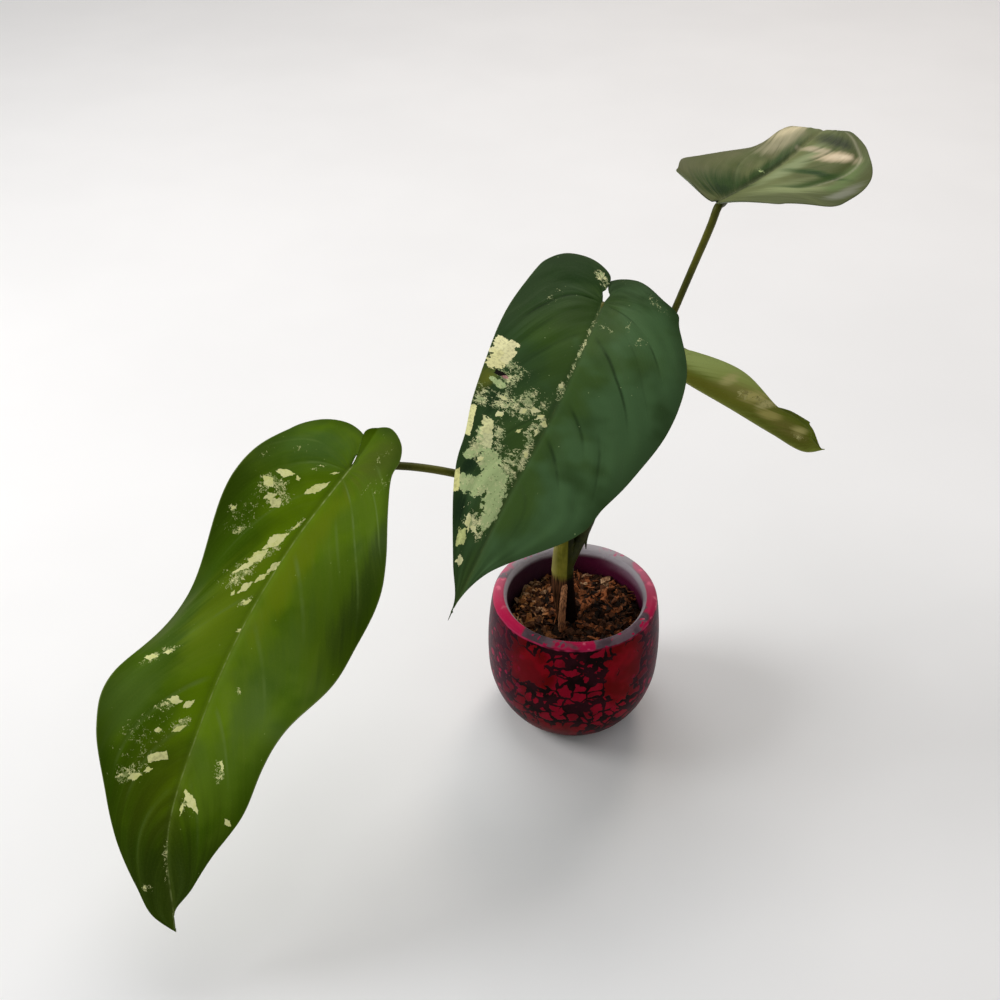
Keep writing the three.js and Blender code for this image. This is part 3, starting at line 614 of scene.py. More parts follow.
class Nodes:
    """A node tree under construction, with short calls for its nodes."""

    def __init__(self, tree):
        self.tree = tree

    def put(self, value, socket):
        """Gives the socket another node's output or a plain value."""
        if isinstance(value, bpy.types.NodeSocket):
            self.tree.links.new(value, socket)
        else:
            socket.default_value = value

    def node(self, kind, inputs=None, **settings):
        node = self.tree.nodes.new(kind)
        for key, value in settings.items():
            setattr(node, key, value)
        for key, value in (inputs or {}).items():
            if value is not None:
                self.put(value, node.inputs[key])
        return node

    def math(self, operation, a, b=None, c=None):
        return self.node("ShaderNodeMath", {0: a, 1: b, 2: c}, operation=operation).outputs[0]

    def plus(self, a, b):
        return self.math("ADD", a, b)

    def minus(self, a, b):
        return self.math("SUBTRACT", a, b)

    def times(self, a, b):
        return self.math("MULTIPLY", a, b)

    def times_plus(self, a, b, c):
        return self.math("MULTIPLY_ADD", a, b, c)

    def vector_math(self, operation, a, b=None, c=None, output="Vector"):
        places = {0: a, 1: b, 2: c}
        return self.node("ShaderNodeVectorMath", places, operation=operation).outputs[output]

    def stretched(self, vector, factor):
        places = {0: vector, "Scale": factor}
        return self.node("ShaderNodeVectorMath", places, operation="SCALE").outputs[0]

    def axes(self, vector):
        return self.node("ShaderNodeSeparateXYZ", {0: vector}).outputs

    def from_axes(self, *values):
        return self.node("ShaderNodeCombineXYZ", dict(enumerate(values))).outputs[0]

    def noise(self, vector, scale, detail=3.0, roughness=0.55, output="Fac"):
        places = {"Vector": vector, "Scale": scale, "Detail": detail, "Roughness": roughness}
        return self.node("ShaderNodeTexNoise", places).outputs[output]

    def centred(self, colour):
        """A noise colour as a push to all sides, none at middle grey."""
        return self.vector_math("SUBTRACT", colour, (0.5, 0.5, 0.5))


# Materials. Colours are linear. Places and noise scales go by the metre, or on a leaf's chart by
# the millimetre.

class Finish(Nodes):
    """A material under construction. A colour is an output, three numbers or the name of a tone."""

    def __init__(self, name, tones=None, **surface):
        self.tones = tones
        self.material = bpy.data.materials.new(name)
        self.material.use_nodes = True
        super().__init__(self.material.node_tree)
        self.surface = self.tree.nodes["Principled BSDF"]
        for socket, value in surface.items():
            self.surface.inputs[socket.replace("_", " ")].default_value = value

    def object_place(self):
        return self.node("ShaderNodeTexCoord").outputs["Object"]

    def attribute(self, name, output="Fac"):
        return self.node("ShaderNodeAttribute", attribute_name=name).outputs[output]

    def step(self, value, low, high, start=0.0, end=1.0):
        """Smooth change from start to end as the value goes from low to high."""
        if not isinstance(low, bpy.types.NodeSocket) and low > high:
            low, high, start, end = high, low, end, start
        places = {"Value": value, "From Min": low, "From Max": high, "To Min": start, "To Max": end}
        node = self.node("ShaderNodeMapRange", places, interpolation_type="SMOOTHSTEP", clamp=True)
        return node.outputs["Result"]

    def scaled(self, vector, scale):
        return self.node("ShaderNodeMapping", {"Vector": vector, "Scale": scale}).outputs[0]

    def bent(self, vector, scale, amount):
        """The place, pushed about by noise."""
        push = self.centred(self.noise(vector, scale, output="Color"))
        return self.vector_math("MULTIPLY_ADD", push, (amount, amount, amount), vector)

    def voronoi(self, vector, scale, **settings):
        return self.node("ShaderNodeTexVoronoi", {"Vector": vector, "Scale": scale}, **settings).outputs

    def cell_distance(self, vector, scale):
        return self.voronoi(vector, scale)["Distance"]

    def least(self, sizes):
        """The smallest of the values at each place."""
        return functools.reduce(lambda a, b: self.math("MINIMUM", a, b), sizes)

    def mix(self, factor, a, b):
        node = self.node("ShaderNodeMix", data_type="RGBA")
        self.put(factor, node.inputs[0])
        for colour, socket in ((a, node.inputs[6]), (b, node.inputs[7])):
            colour = self.tones[colour] if isinstance(colour, str) else colour
            self.put((*colour, 1) if isinstance(colour, tuple) else colour, socket)
        return node.outputs[2]

    def tinted(self, colour, tone, value, low, high, share=1.0):
        """The colour, taking on its share of the tone as the value goes from low to high."""
        return self.mix(self.step(value, low, high, 0.0, share), colour, tone)

    def bump(self, height, distance, strength=1.0):
        places = {"Height": height, "Distance": distance * MM, "Strength": strength}
        self.put(self.node("ShaderNodeBump", places).outputs["Normal"], self.surface.inputs["Normal"])

    def colour(self, value):
        self.put(value, self.surface.inputs["Base Color"])


def toned(colour, factor):
    return tuple(factor * value for value in colour)


def between(a, b):
    return tuple((p + q) / 2 for p, q in zip(a, b))


class LeafFinish(Finish):
    """Green blade with sunken veins, a light midrib (on the upper leaf dark, painted shade in its groove)
    and cream flecks where the marks lie.
    """

    def __init__(self, name, leaf, length, tones, roughness, specular):
        super().__init__(name, tones, Roughness=roughness, Specular_IOR_Level=specular)
        self.leaf = leaf
        self.length = length
        self.chart = self.attribute("chart", "Vector")
        self.vein = self.attribute("vein")
        self.outward = self.attribute("outward")
        self.across, self.along, _ = self.axes(self.chart)
        self.out = self.math("ABSOLUTE", self.across)
        along_veins = self.from_axes(self.times(self.vein, 250.0), self.across)
        self.streak = self.scaled(along_veins, (1, 0.3, 1))
        self.fine_veins = self.math("PINGPONG", self.times(self.vein, 60.0), 0.5)
        self.cloud = self.noise(self.chart, 0.02, 3.0, 0.5)
        self.clump = self.noise(self.chart, 0.14, 3.0)
        self.grain = self.noise(self.chart, 0.9, 2.0)
        self.torn_place = self.bent(self.chart, 0.35, 3.0)
        self.ragged = self.noise(self.torn_place, 0.35, 8.0, 0.72)
        blocks = self.voronoi(self.torn_place, 0.42)
        chips = self.voronoi(self.torn_place, 1.7)
        self.block_luck = self.axes(blocks["Color"])[0]
        self.chip_luck = self.axes(chips["Color"])[0]
        self.chip_place = chips["Position"]

    def reach(self, marks, place, shape="round"):
        """How far a place lies from the nearest round, pointed or square mark, 1 on its outline."""
        sizes = []
        for across, along, half_length, half_width, turn in marks:
            places = {"Vector": place, "Location": (across, along, 0),
                      "Rotation": (0, 0, math.radians(turn)), "Scale": (half_length, half_width, 1)}
            local = self.node("ShaderNodeMapping", places, vector_type="TEXTURE").outputs[0]
            if shape == "round":
                sizes.append(self.vector_math("LENGTH", local, output="Value"))
            else:
                away = self.axes(self.vector_math("ABSOLUTE", local))
                sizes.append(self.math("MAXIMUM" if shape == "square" else "ADD", away[0], away[1]))
        return self.least(sizes)

    def patch(self, marks, rag, shape):
        """Full inside the marks, with a torn outline."""
        torn = self.times_plus(self.clump, 2.2 * rag, -1.1 * rag)
        torn = self.plus(torn, self.times_plus(self.ragged, 2.4 * rag, -1.2 * rag))
        torn = self.plus(torn, self.times_plus(self.block_luck, 0.9 * rag, -0.45 * rag))
        return self.step(self.plus(self.reach(marks, self.torn_place, shape), torn), 1.03, 0.97)

    def specks(self, marks, share):
        """Small chips and torn lace, more of them towards the middle of each mark."""
        density = self.step(self.reach(marks, self.chip_place), 1.3, 0.3, 0.0, share)
        density = self.times(density, self.step(self.clump, 0.36, 0.6, 0.45, 1.3))
        luck = self.plus(self.times(self.chip_luck, 0.65), self.times_plus(self.ragged, 2.2, -0.75))
        return self.math("LESS_THAN", luck, density)

    def vein_lines(self, width):
        """The named veins as soft lines, broken here and there."""
        left = self.step(self.across, 0.4, -0.4)
        halves = (left, self.minus(1.0, left))
        lines = None
        for half, place, start, end, strength in self.leaf["veins"]:
            gap = self.math("ABSOLUTE", self.minus(self.vein, place))
            line = self.step(gap, width / self.length, 0.0, 0.0, strength)
            line = self.times(line, halves[half])
            line = self.times(line, self.step(self.outward, start - 0.05, start + 0.1))
            line = self.times(line, self.step(self.outward, end + 0.05, end - 0.2))
            lines = line if lines is None else self.math("MAXIMUM", lines, line)
        return self.times(lines, self.step(self.noise(self.chart, 0.05), 0.36, 0.56, 0.25, 0.8))

    def green(self):
        """The blade without its midrib and marks: clouds, washes with painted shade and painted highlights
        among them, streaks, painted shade towards the margin and veins.
        """
        warm = self.plus(self.cloud, self.step(self.outward, 0.75, 0.1, -0.1, 0.1))
        colour = self.tinted("deep", "fresh", warm, 0.36, 0.66)
        cool = self.plus(self.noise(self.chart, 0.03, 2.0), self.step(self.across, 10, -30, -0.12, 0.12))
        colour = self.tinted(colour, "cool", cool, 0.42, 0.68, 0.8)
        wobble = self.times_plus(self.noise(self.streak, 0.12), 1.6, -0.8)
        for tone, *mark, strength in self.leaf["washes"]:
            spread = self.plus(self.reach([mark], self.chart), wobble)
            colour = self.tinted(colour, tone, spread, 1.5, 0.3, strength)
        streaks = self.step(self.noise(self.streak, 0.14), 0.5, 0.8, 0.0, 0.22)
        grains = self.step(self.grain, 0.4, 0.8, 0.0, 0.12)
        lines = self.step(self.fine_veins, 0.2, 0.0, 0.0, 0.04)
        for share in (streaks, grains, lines):
            colour = self.mix(share, colour, "light")
        # Painted shade towards the margin
        margin_shade = self.step(self.outward, 0.74, 1.0, 0.0, self.leaf.get("edge", MARGIN_SHADE))
        colour = self.mix(margin_shade, colour, toned(self.tones["deep"], 0.5))
        # The vein tone is light on the left leaf, the veins' own colour; on the other leaves it is dark,
        # partly the veins' colour and partly painted shade in their creases
        return self.mix(self.vein_lines(3.0), colour, "vein")

    def with_midrib(self, colour):
        """Adds the midrib, light on most leaves and dark painted shade of its groove on the upper one, and,
        where the leaf has one, the fold along its hem.
        """
        on_midrib = self.step(self.along, 1.0, 5.0)
        beside = self.times(self.step(self.out, 4.0, 0.0, 0.0, 0.2), on_midrib)
        colour = self.mix(beside, colour, "light")
        rib = self.times(self.step(self.out, 0.7, 0.1), self.step(self.clump, 0.4, 0.6, 0.15, 0.8))
        rib = self.times(rib, self.step(self.along, 20.0, 70.0, 1.0, 0.5))
        colour = self.mix(self.times(rib, on_midrib), colour, "rib")
        if "hem" in self.leaf:
            # The fold tone is painted shade inside the hem's fold, the crest tone a painted highlight on its
            # crest
            colour = self.mix(self.times(self.attribute("strip"), 0.9), colour, "fold")
            colour = self.mix(self.times(self.attribute("crest"), 0.3), colour, "crest")
        return colour

    def with_marks(self, colour):
        """Adds pale patches, lace, dust, cream marks, spots and a light line along the margin."""
        leaf = self.leaf
        cream = self.tones["cream"]
        pale = self.tones["pale"]
        if "pale" in leaf:
            tone = self.tinted(pale, between(pale, cream), self.clump, 0.5, 0.62, 0.6)
            streaks = self.step(self.noise(self.streak, 0.5), 0.5, 0.7, 0.0, 0.4)
            tone = self.mix(streaks, tone, toned(pale, 0.8))
            tone = self.tinted(tone, "fresh", self.chip_luck, 0.96, 0.98, 0.5)
            tone = self.tinted(tone, cream, self.chip_luck, 0.05, 0.03, 0.7)
            colour = self.mix(self.patch(leaf["pale"], 0.36, "round"), colour, tone)
        tone = self.tinted(cream, toned(pale, 0.8), self.block_luck, 0.3, 0.8, 0.8)
        faded = self.step(self.noise(self.chart, 0.5, 3.0), 0.4, 0.6, 0.0, 0.5)
        tone = self.mix(faded, tone, toned(pale, 0.5))
        colour = self.mix(self.specks(leaf["fleck"], leaf.get("lace", LACE_DENSITY)), colour, tone)
        if "dust" in leaf:
            tone = toned(between(pale, cream), 0.75)
            colour = self.mix(self.specks(leaf["dust"], DUST_DENSITY), colour, tone)
        if "cream" in leaf:
            tone = self.tinted(cream, "yellow", self.clump, 0.42, 0.6, 0.7)
            tone = self.tinted(tone, pale, self.ragged, 0.52, 0.6, 0.3)
            torn = leaf.get("torn", CREAM_RAGGEDNESS)
            colour = self.mix(self.patch(leaf["cream"], torn, "pointed"), colour, tone)
        for tone, rag, *mark in leaf.get("spots", []):
            wear = self.step(self.noise(self.chart, 0.45), 0.46, 0.62, 0.0, 0.7)
            worn = self.mix(wear, tone, toned(tone, 0.66))
            colour = self.mix(self.patch([mark], rag, "square"), colour, worn)
        dots = self.step(self.cell_distance(self.chart, 0.11), 0.05, 0.03, 0.0, 0.45)
        colour = self.mix(dots, colour, pale)
        return self.tinted(colour, "rib", self.outward, 0.985, 1.0, 0.35)

    def with_underside(self, colour):
        under = self.tones.get("under")
        if under is None:
            return colour
        below = self.tinted(under, toned(under, 0.75), self.cloud, 0.36, 0.66)
        below = self.mix(self.times(self.vein_lines(2.0), 0.5), below, "rib")
        below = self.tinted(below, "rib", self.out, 2.5, 0.5, 0.5)
        return self.tinted(colour, below, self.attribute("under"), 0.4, 0.6)

    def painted(self):
        self.colour(self.with_underside(self.with_marks(self.with_midrib(self.green()))))
        self.bump(self.times_plus(self.step(self.fine_veins, 0.25, 0.0), -0.3, self.grain), 0.15, 0.3)
        return self.material


class GlazeFinish(Finish):
    """Deep red glaze with a black branching net, painted shade and pink painted reflections at its sides, a
    grey rim with pink spots, dark inside with painted shade on its left and a painted highlight on its
    right.
    """

    TONES = dict(
        red=(0.12, 0.0, 0.0005), bright_red=(0.22, 0.0005, 0.006), netted_red=(0.26, 0.002, 0.018),
        dull_red=(0.1, 0.002, 0.005), black=(0.006, 0.001, 0.001), soft_black=(0.024, 0.003, 0.006),
        side=(0.05, 0.002, 0.016), side_reflection=(0.34, 0.004, 0.05), foot=(0.02, 0.0, 0.001),
        dull_rim=(0.09, 0.055, 0.07), grey_rim=(0.17, 0.11, 0.135), back_rim_reflection=(0.36, 0.33, 0.35),
        pink=(0.5, 0.01, 0.07), back_pink_reflection=(0.5, 0.17, 0.24), pink_spot=(0.8, 0.18, 0.27),
        drip=(0.5, 0.03, 0.1), lip=(0.4, 0.36, 0.39), shaded_inner_left=(0.075, 0.03, 0.05),
        lit_inner_right=(0.12, 0.012, 0.045), inner_patch=(0.07, 0.018, 0.04), gleam=(0.33, 0.19, 0.26),
    )

    def __init__(self):
        super().__init__("red_glaze", self.TONES, Roughness=0.35, Specular_IOR_Level=0.03)
        self.place = self.object_place()
        self.x, self.y, self.z = self.axes(self.place)
        self.aside = self.math("ABSOLUTE", self.x)
        self.run = self.attribute("run")
        self.wander = self.noise(self.place, 60.0)
        self.patches = self.noise(self.place, 34.0)
        self.pushed = self.bent(self.place, 70.0, 0.014)

    def from_clearings(self):
        """How far a place lies from the nearest clearing of the net, 1 on its outline."""
        sizes = []
        for middle, reach in GLAZE_CLEARINGS:
            offset = self.vector_math("SUBTRACT", self.place, middle)
            shrunk = self.vector_math("DIVIDE", offset, reach)
            sizes.append(self.vector_math("LENGTH", shrunk, output="Value"))
        return self.least(sizes)

    def net(self, clear):
        """The black net: 1 on its strands."""
        strand = self.voronoi(self.pushed, 112.0, feature="DISTANCE_TO_EDGE")["Distance"]
        thick = self.step(self.times_plus(self.wander, 1.0, clear), 1.1, 1.7, -0.1, 0.15)
        thick = self.plus(thick, self.times_plus(self.noise(self.place, 90.0), 0.7, -0.35))
        return self.step(self.minus(thick, strand), -0.02, 0.02)

    def body(self, clear, net):
        red = self.tinted("red", "bright_red", self.noise(self.pushed, 45.0, 2.0), 0.4, 0.62)
        red = self.tinted(red, "netted_red", clear, 1.1, 1.5, 0.8)
        red = self.tinted(red, "dull_red", self.patches, 0.5, 0.6, 0.6)
        black = self.tinted("black", "soft_black", self.wander, 0.4, 0.62)
        glaze = self.mix(net, red, black)
        # Painted shade, darker and purple, where the pot turns away at left and right; the pink spots there
        # are painted reflections
        glaze = self.tinted(glaze, "side", self.aside, 0.036, 0.056, 0.8)
        blob = self.step(self.cell_distance(self.pushed, 130.0), 0.3, 0.22, 0.0, 0.8)
        blob = self.times(blob, self.step(self.aside, 0.034, 0.05))
        blob = self.times(blob, self.step(self.patches, 0.44, 0.54))
        glaze = self.mix(blob, glaze, "side_reflection")
        return self.tinted(glaze, "foot", self.z, 0.05, 0.0, 0.5)

    def rim(self):
        """Dull grey, paler at the back as painted reflection, with pink where it is spotted, at the middle
        of its front and, as painted highlight, at its sides.
        """
        front_middle = self.step(self.math("ABSOLUTE", self.plus(self.x, 0.004)), 0.021, 0.013)
        front_middle = self.times(front_middle, self.step(self.y, -0.04, -0.05))
        # Pink towards the rim's sides is a painted highlight
        side = self.plus(self.patches, self.step(self.aside, 0.03, 0.056, -0.08, 0.16))
        side = self.times_plus(front_middle, 0.22, side)
        spot_size = self.step(self.wander, 0.4, 0.6, 0.2, 0.42)
        spot = self.step(self.cell_distance(self.pushed, 190.0), spot_size, 0.0)
        spot = self.step(spot, 0.05, 0.25)
        dull = self.tinted("dull_rim", "grey_rim", self.wander, 0.4, 0.6)
        # Paler at the back: painted reflection
        dull = self.tinted(dull, "back_rim_reflection", self.y, 0.0, 0.045)
        pink = self.tinted("pink", "back_pink_reflection", self.y, -0.03, 0.045)
        pink = self.tinted(pink, "pink_spot", self.cell_distance(self.pushed, 120.0), 0.35, 0.1, 0.8)
        return self.mix(self.math("MAXIMUM", self.step(side, 0.5, 0.58), spot), dull, pink)

    def inside(self):
        # Painted shade on the left of the inside wall, lit on the right; the gleam high on the right is a
        # painted highlight
        wall = self.tinted("shaded_inner_left", "lit_inner_right", self.x, -0.03, 0.01)
        wall = self.tinted(wall, "inner_patch", self.patches, 0.4, 0.62, 0.5)
        below_rim = self.step(self.run, INSIDE_START + 11, INSIDE_START + 1)
        return self.mix(self.times(self.step(self.x, 0.015, 0.045), below_rim), wall, "gleam")

    def painted(self):
        """Body, drips, rim, lip and inside, one after the other along the profile."""
        clear = self.from_clearings()
        net = self.net(clear)
        glaze = self.body(clear, net)
        drip = self.times_plus(self.wander, 3.0, self.run)
        streak = self.step(self.patches, 0.42, 0.5, 0.2, 1.0)
        streak = self.times(self.step(drip, RIM_START + 1.0, RIM_START + 1.8), streak)
        glaze = self.mix(streak, glaze, "drip")
        glaze = self.tinted(glaze, self.rim(), drip, RIM_START + 2.2, RIM_START + 3.0)
        glaze = self.tinted(glaze, "lip", self.run, LIP_START - 0.4, LIP_START + 0.8)
        inner = self.times_plus(self.wander, 4.0, self.run)
        self.colour(self.tinted(glaze, self.inside(), inner, INSIDE_START, INSIDE_START + 5))
        self.bump(self.times_plus(self.wander, 0.3, self.minus(1.0, net)), 0.3, 0.4)
        return self.material


class StalkFinish(Finish):
    """Stem and leaf stalks: yellow-green with a painted highlight on the left of the stem, near black green
    painted shade on its right.
    """

    TONES = dict(
        green=(0.12, 0.115, 0.008), bright_green=(0.22, 0.2, 0.025), green_fibre=(0.07, 0.075, 0.006),
        lit_side=(0.34, 0.3, 0.09), shadow=(0.01, 0.012, 0.001), soft_shadow=(0.03, 0.034, 0.003),
        dark_brown=(0.02, 0.009, 0.004), brown=(0.15, 0.062, 0.028), brown_shadow=(0.006, 0.003, 0.002),
        olive=(0.045, 0.05, 0.003), light_olive=(0.1, 0.1, 0.008), speck=(0.14, 0.15, 0.03),
    )

    def __init__(self, name, **surface):
        super().__init__(name, self.TONES, **surface)
        self.place = self.object_place()
        self.x, _, self.z = self.axes(self.place)
        self.fibre = self.noise(self.scaled(self.place, (900, 900, 60)), 1.0)
        self.cloud = self.noise(self.place, 60.0)
        # Painted shade on the right side of the stem and of the stalks' feet
        self.right = self.step(self.times_plus(self.cloud, 0.0015, self.x), -0.0064, -0.0054)

    def greens(self):
        green = self.tinted("green", "bright_green", self.cloud, 0.4, 0.62)
        green = self.tinted(green, "green_fibre", self.fibre, 0.45, 0.7, 0.35)
        # lit_side: painted highlight on the stem's left
        green = self.tinted(green, "lit_side", self.x, -0.0125, -0.0165, 0.6)
        shadow = self.tinted("shadow", "soft_shadow", self.cloud, 0.4, 0.6)
        return self.mix(self.right, green, shadow)

    def as_stem(self):
        """Yellow-green, dark brown and scarred near the soil."""
        brown = self.tinted("dark_brown", "brown", self.fibre, 0.38, 0.62)
        brown = self.mix(self.right, brown, "brown_shadow")
        height = self.times_plus(self.fibre, 0.01, self.z)
        self.colour(self.tinted(self.greens(), brown, height, 0.134, 0.127))
        self.bump(self.fibre, 0.3, 0.5)
        return self.material

    def as_stalk(self):
        """Olive with pale flecks, in the stem's tones at its foot."""
        speck = self.noise(self.place, 700.0, 2.0)
        olive = self.tinted("olive", "light_olive", self.noise(self.place, 40.0), 0.38, 0.64)
        olive = self.tinted(olive, "speck", speck, 0.62, 0.72, 0.4)
        self.colour(self.tinted(olive, self.greens(), self.z, 0.185, 0.165))
        self.bump(speck, 0.1, 0.4)
        return self.material


def root_finish():
    """Dry brown root with length fibres."""
    tones = dict(hollow=(0.12, 0.045, 0.016), fibre=(0.6, 0.25, 0.1))
    f = Finish("root_brown", tones, Roughness=0.85)
    fibre = f.noise(f.scaled(f.object_place(), (1200, 1200, 150)), 1.0, 4.0)
    f.colour(f.tinted("hollow", "fibre", fibre, 0.35, 0.65))
    f.bump(fibre, 0.5, 0.8)
    return f.material


def bark_finish():
    """Bark chips and coir, each chip with its own tone from near black to orange brown."""
    tones = dict(
        black=(0.006, 0.003, 0.001), brown=(0.08, 0.028, 0.01), orange=(0.36, 0.11, 0.034),
        tan=(0.52, 0.22, 0.07), pale=(0.55, 0.33, 0.18), grain=(0.035, 0.014, 0.007))
    f = Finish("bark_chips", tones, Roughness=0.9, Specular_IOR_Level=0.25)
    place = f.object_place()
    x, y, _ = f.axes(place)
    left = f.step(x, -0.012, -0.028)
    # Lighter at the back, a painted highlight, and darker at the front, painted shade
    tone = f.plus(f.attribute("tone"), f.step(y, 0.015, 0.035, -0.06, 0.14))
    tone = f.times_plus(left, 0.2, tone)
    grain = f.noise(place, 600.0, 4.0)
    colour = f.tinted("black", "brown", tone, 0.1, 0.5)
    colour = f.tinted(colour, f.mix(left, "orange", "tan"), tone, 0.5, 0.9)
    colour = f.tinted(colour, "pale", tone, 0.95, 1.1)
    f.colour(f.tinted(colour, "grain", grain, 0.4, 0.7, 0.5))
    f.bump(grain, 0.4, 0.8)
    return f.material


# Geometry Nodes trees

class Tree(Nodes):
    """A Geometry Nodes group under construction, with named inputs."""

    SOCKETS = {float: "NodeSocketFloat", int: "NodeSocketInt", type(None): "NodeSocketMaterial"}

    def __init__(self, name, **inputs):
        super().__init__(bpy.data.node_groups.new(name, "GeometryNodeTree"))
        face = self.tree.interface
        face.new_socket("Geometry", in_out="INPUT", socket_type="NodeSocketGeometry")
        for key, value in inputs.items():
            socket = face.new_socket(key, in_out="INPUT", socket_type=self.SOCKETS[type(value)])
            socket.default_value = value
        face.new_socket("Geometry", in_out="OUTPUT", socket_type="NodeSocketGeometry")
        self.given = self.node("NodeGroupInput").outputs
        self.source = self.given["Geometry"]
        self.result = self.node("NodeGroupOutput").inputs["Geometry"]

    def made(self, kind, inputs=None, **settings):
        """First output of a new Geometry Nodes node."""
        return self.node("GeometryNode" + kind, inputs, **settings).outputs[0]

    def position(self):
        return self.made("InputPosition")

    def named(self, name):
        return self.made("InputNamedAttribute", {"Name": name}, data_type="FLOAT")

    def store(self, geometry, name, value, **settings):
        places = {"Geometry": geometry, "Name": name, "Value": value}
        return self.made("StoreNamedAttribute", places, data_type="FLOAT", **settings)

    def random(self, low, high, seed):
        vector = isinstance(low, tuple)
        first = 0 if vector else 2
        places = {first: low, first + 1: high, "Seed": seed}
        kind = "FLOAT_VECTOR" if vector else "FLOAT"
        return self.node("FunctionNodeRandomValue", places, data_type=kind).outputs[0 if vector else 1]

    def circle(self, sides, radius):
        return self.made("CurvePrimitiveCircle", {"Resolution": sides, "Radius": radius})

    def tube(self, curve, profile, scale=None):
        """Closed rod with the profile as its section."""
        places = {"Curve": curve, "Profile Curve": profile, "Fill Caps": True, "Scale": scale}
        return self.made("CurveToMesh", places)

    def strewn(self, instance, density, tilt, smallest, largest, seeds):
        """Tilted and sized copies on the top of the source; seeds of places, turns and sizes."""
        count = self.times(density, self.named("top"))
        places = {"Mesh": self.source, "Density": count, "Seed": seeds[0]}
        points = self.made("DistributePointsOnFaces", places, distribute_method="RANDOM")
        return self.made("InstanceOnPoints", {
            "Points": points, "Instance": instance,
            "Rotation": self.random((-tilt, -tilt, 0.0), (tilt, tilt, FULL_TURN), seeds[1]),
            "Scale": self.random(smallest, largest, seeds[2])})

    def moved(self, geometry, shift):
        return self.made("SetPosition", {"Geometry": geometry, "Offset": shift})

    def joined(self, *parts):
        join = self.node("GeometryNodeJoinGeometry")
        for part in parts:
            self.put(part, join.inputs[0])
        return join.outputs[0]

    def finish(self, geometry):
        """Ends the tree: everything real, in the given material."""
        real = self.made("RealizeInstances", {"Geometry": geometry})
        places = {"Geometry": real, "Material": self.given["Material"]}
        self.put(self.made("SetMaterial", places), self.result)
        return self.tree


def grown(name, source, group, **values):
    """Plain mesh object that a Geometry Nodes group makes from a source mesh."""
    holder = bpy.data.objects.new(name + "_source", source)
    bpy.context.scene.collection.objects.link(holder)
    modifier = holder.modifiers.new("grow", "NODES")
    modifier.node_group = group
    for item in group.interface.items_tree:
        if item.in_out == "INPUT" and item.name in values:
            modifier[item.identifier] = values[item.name]
    bpy.context.view_layer.update()
    made = holder.evaluated_get(bpy.context.evaluated_depsgraph_get())
    mesh = bpy.data.meshes.new_from_object(made)
    bpy.data.objects.remove(holder)
    mesh.shade_smooth()
    return piece_from(name, mesh, values["Material"])


def rod_tree():
    """Round rod along each line of the source, its radius from the points, its skin a little uneven."""
    tree = Tree("rod_along_path", Sides=20, Unevenness=0.07, Material=None)
    thick = tree.named("thick")
    curve = tree.made("MeshToCurve", {"Mesh": tree.source})
    curve = tree.made("SetCurveRadius", {"Curve": curve, "Radius": thick})
    rod = tree.tube(curve, tree.circle(tree.given["Sides"], 1.0), tree.made("InputRadius"))
    noise = tree.noise(tree.position(), 220.0, 2.0, 0.5)
    amount = tree.times(tree.minus(noise, 0.5), tree.given["Unevenness"])
    shift = tree.stretched(tree.made("InputNormal"), tree.times(amount, thick))
    return tree.finish(tree.moved(rod, shift))


def turned_tree():
    """Solid of revolution from the source's profile line; "run" holds the length along it."""
    tree = Tree("turned_profile", Segments=160, Steps=300, Material=None)
    profile = tree.made("MeshToCurve", {"Mesh": tree.source})
    sheet = tree.made("MeshGrid", {
        "Size X": 1.0, "Size Y": 1.0,
        "Vertices X": tree.plus(tree.given["Segments"], 1.0),
        "Vertices Y": tree.plus(tree.given["Steps"], 1.0)})
    flat = tree.axes(tree.position())
    turn = tree.times(flat[0], 2 * math.pi)
    share = tree.plus(flat[1], 0.5)
    length = tree.made("CurveLength", {"Curve": profile})
    sheet = tree.store(sheet, "run", tree.times(tree.times(share, length), 1 / MM))
    on_profile = tree.node("GeometryNodeSampleCurve", {"Curves": profile, "Factor": share}, mode="FACTOR")
    point = tree.axes(on_profile.outputs["Position"])
    x = tree.times(point[0], tree.math("COSINE", turn))
    y = tree.times(point[0], tree.math("SINE", turn))
    places = {"Geometry": sheet, "Position": tree.from_axes(x, y, point[2])}
    return tree.finish(tree.made("SetPosition", places))


def bark_tree():
    """Chips and curled fibres of bark strewn over the top of the source."""
    tree = Tree("bark_on_soil", Density=BARK_CHIPS, Fibres=BARK_FIBRES, Seed=4, Material=None)
    chip = tree.made("MeshCube", {
        "Size": CHIP_SIZE, "Vertices X": 4, "Vertices Y": 3, "Vertices Z": 2})
    seeds = (tree.given["Seed"], 12, 11)
    chips = tree.strewn(chip, tree.given["Density"], 1.1, (0.5, 0.5, 0.5), (2.2, 1.9, 1.7), seeds)
    bent = tree.made("CurvePrimitiveBezierSegment", {
        "Resolution": 7, "Start": (-0.006, 0.0, 0.0), "Start Handle": (-0.003, 0.004, 0.003),
        "End Handle": (0.003, -0.004, 0.003), "End": (0.006, 0.001, 0.0)})
    strand = tree.tube(bent, tree.circle(5, FIBRE_RADIUS))
    seeds = (31, 13, 14)
    strands = tree.strewn(strand, tree.given["Fibres"], 0.7, (0.6, 0.6, 0.6), (1.4, 1.4, 1.6), seeds)

    loose = tree.store(tree.joined(strands, chips), "tone", tree.random(0.0, 1.0, 15), domain="INSTANCE")
    real = tree.made("RealizeInstances", {"Geometry": loose})
    noise = tree.noise(tree.position(), 420.0, 2.0, 0.5, "Color")
    rough = tree.moved(real, tree.stretched(tree.centred(noise), BARK_ROUGHNESS))
    return tree.finish(tree.joined(tree.source, rough))


# Pieces

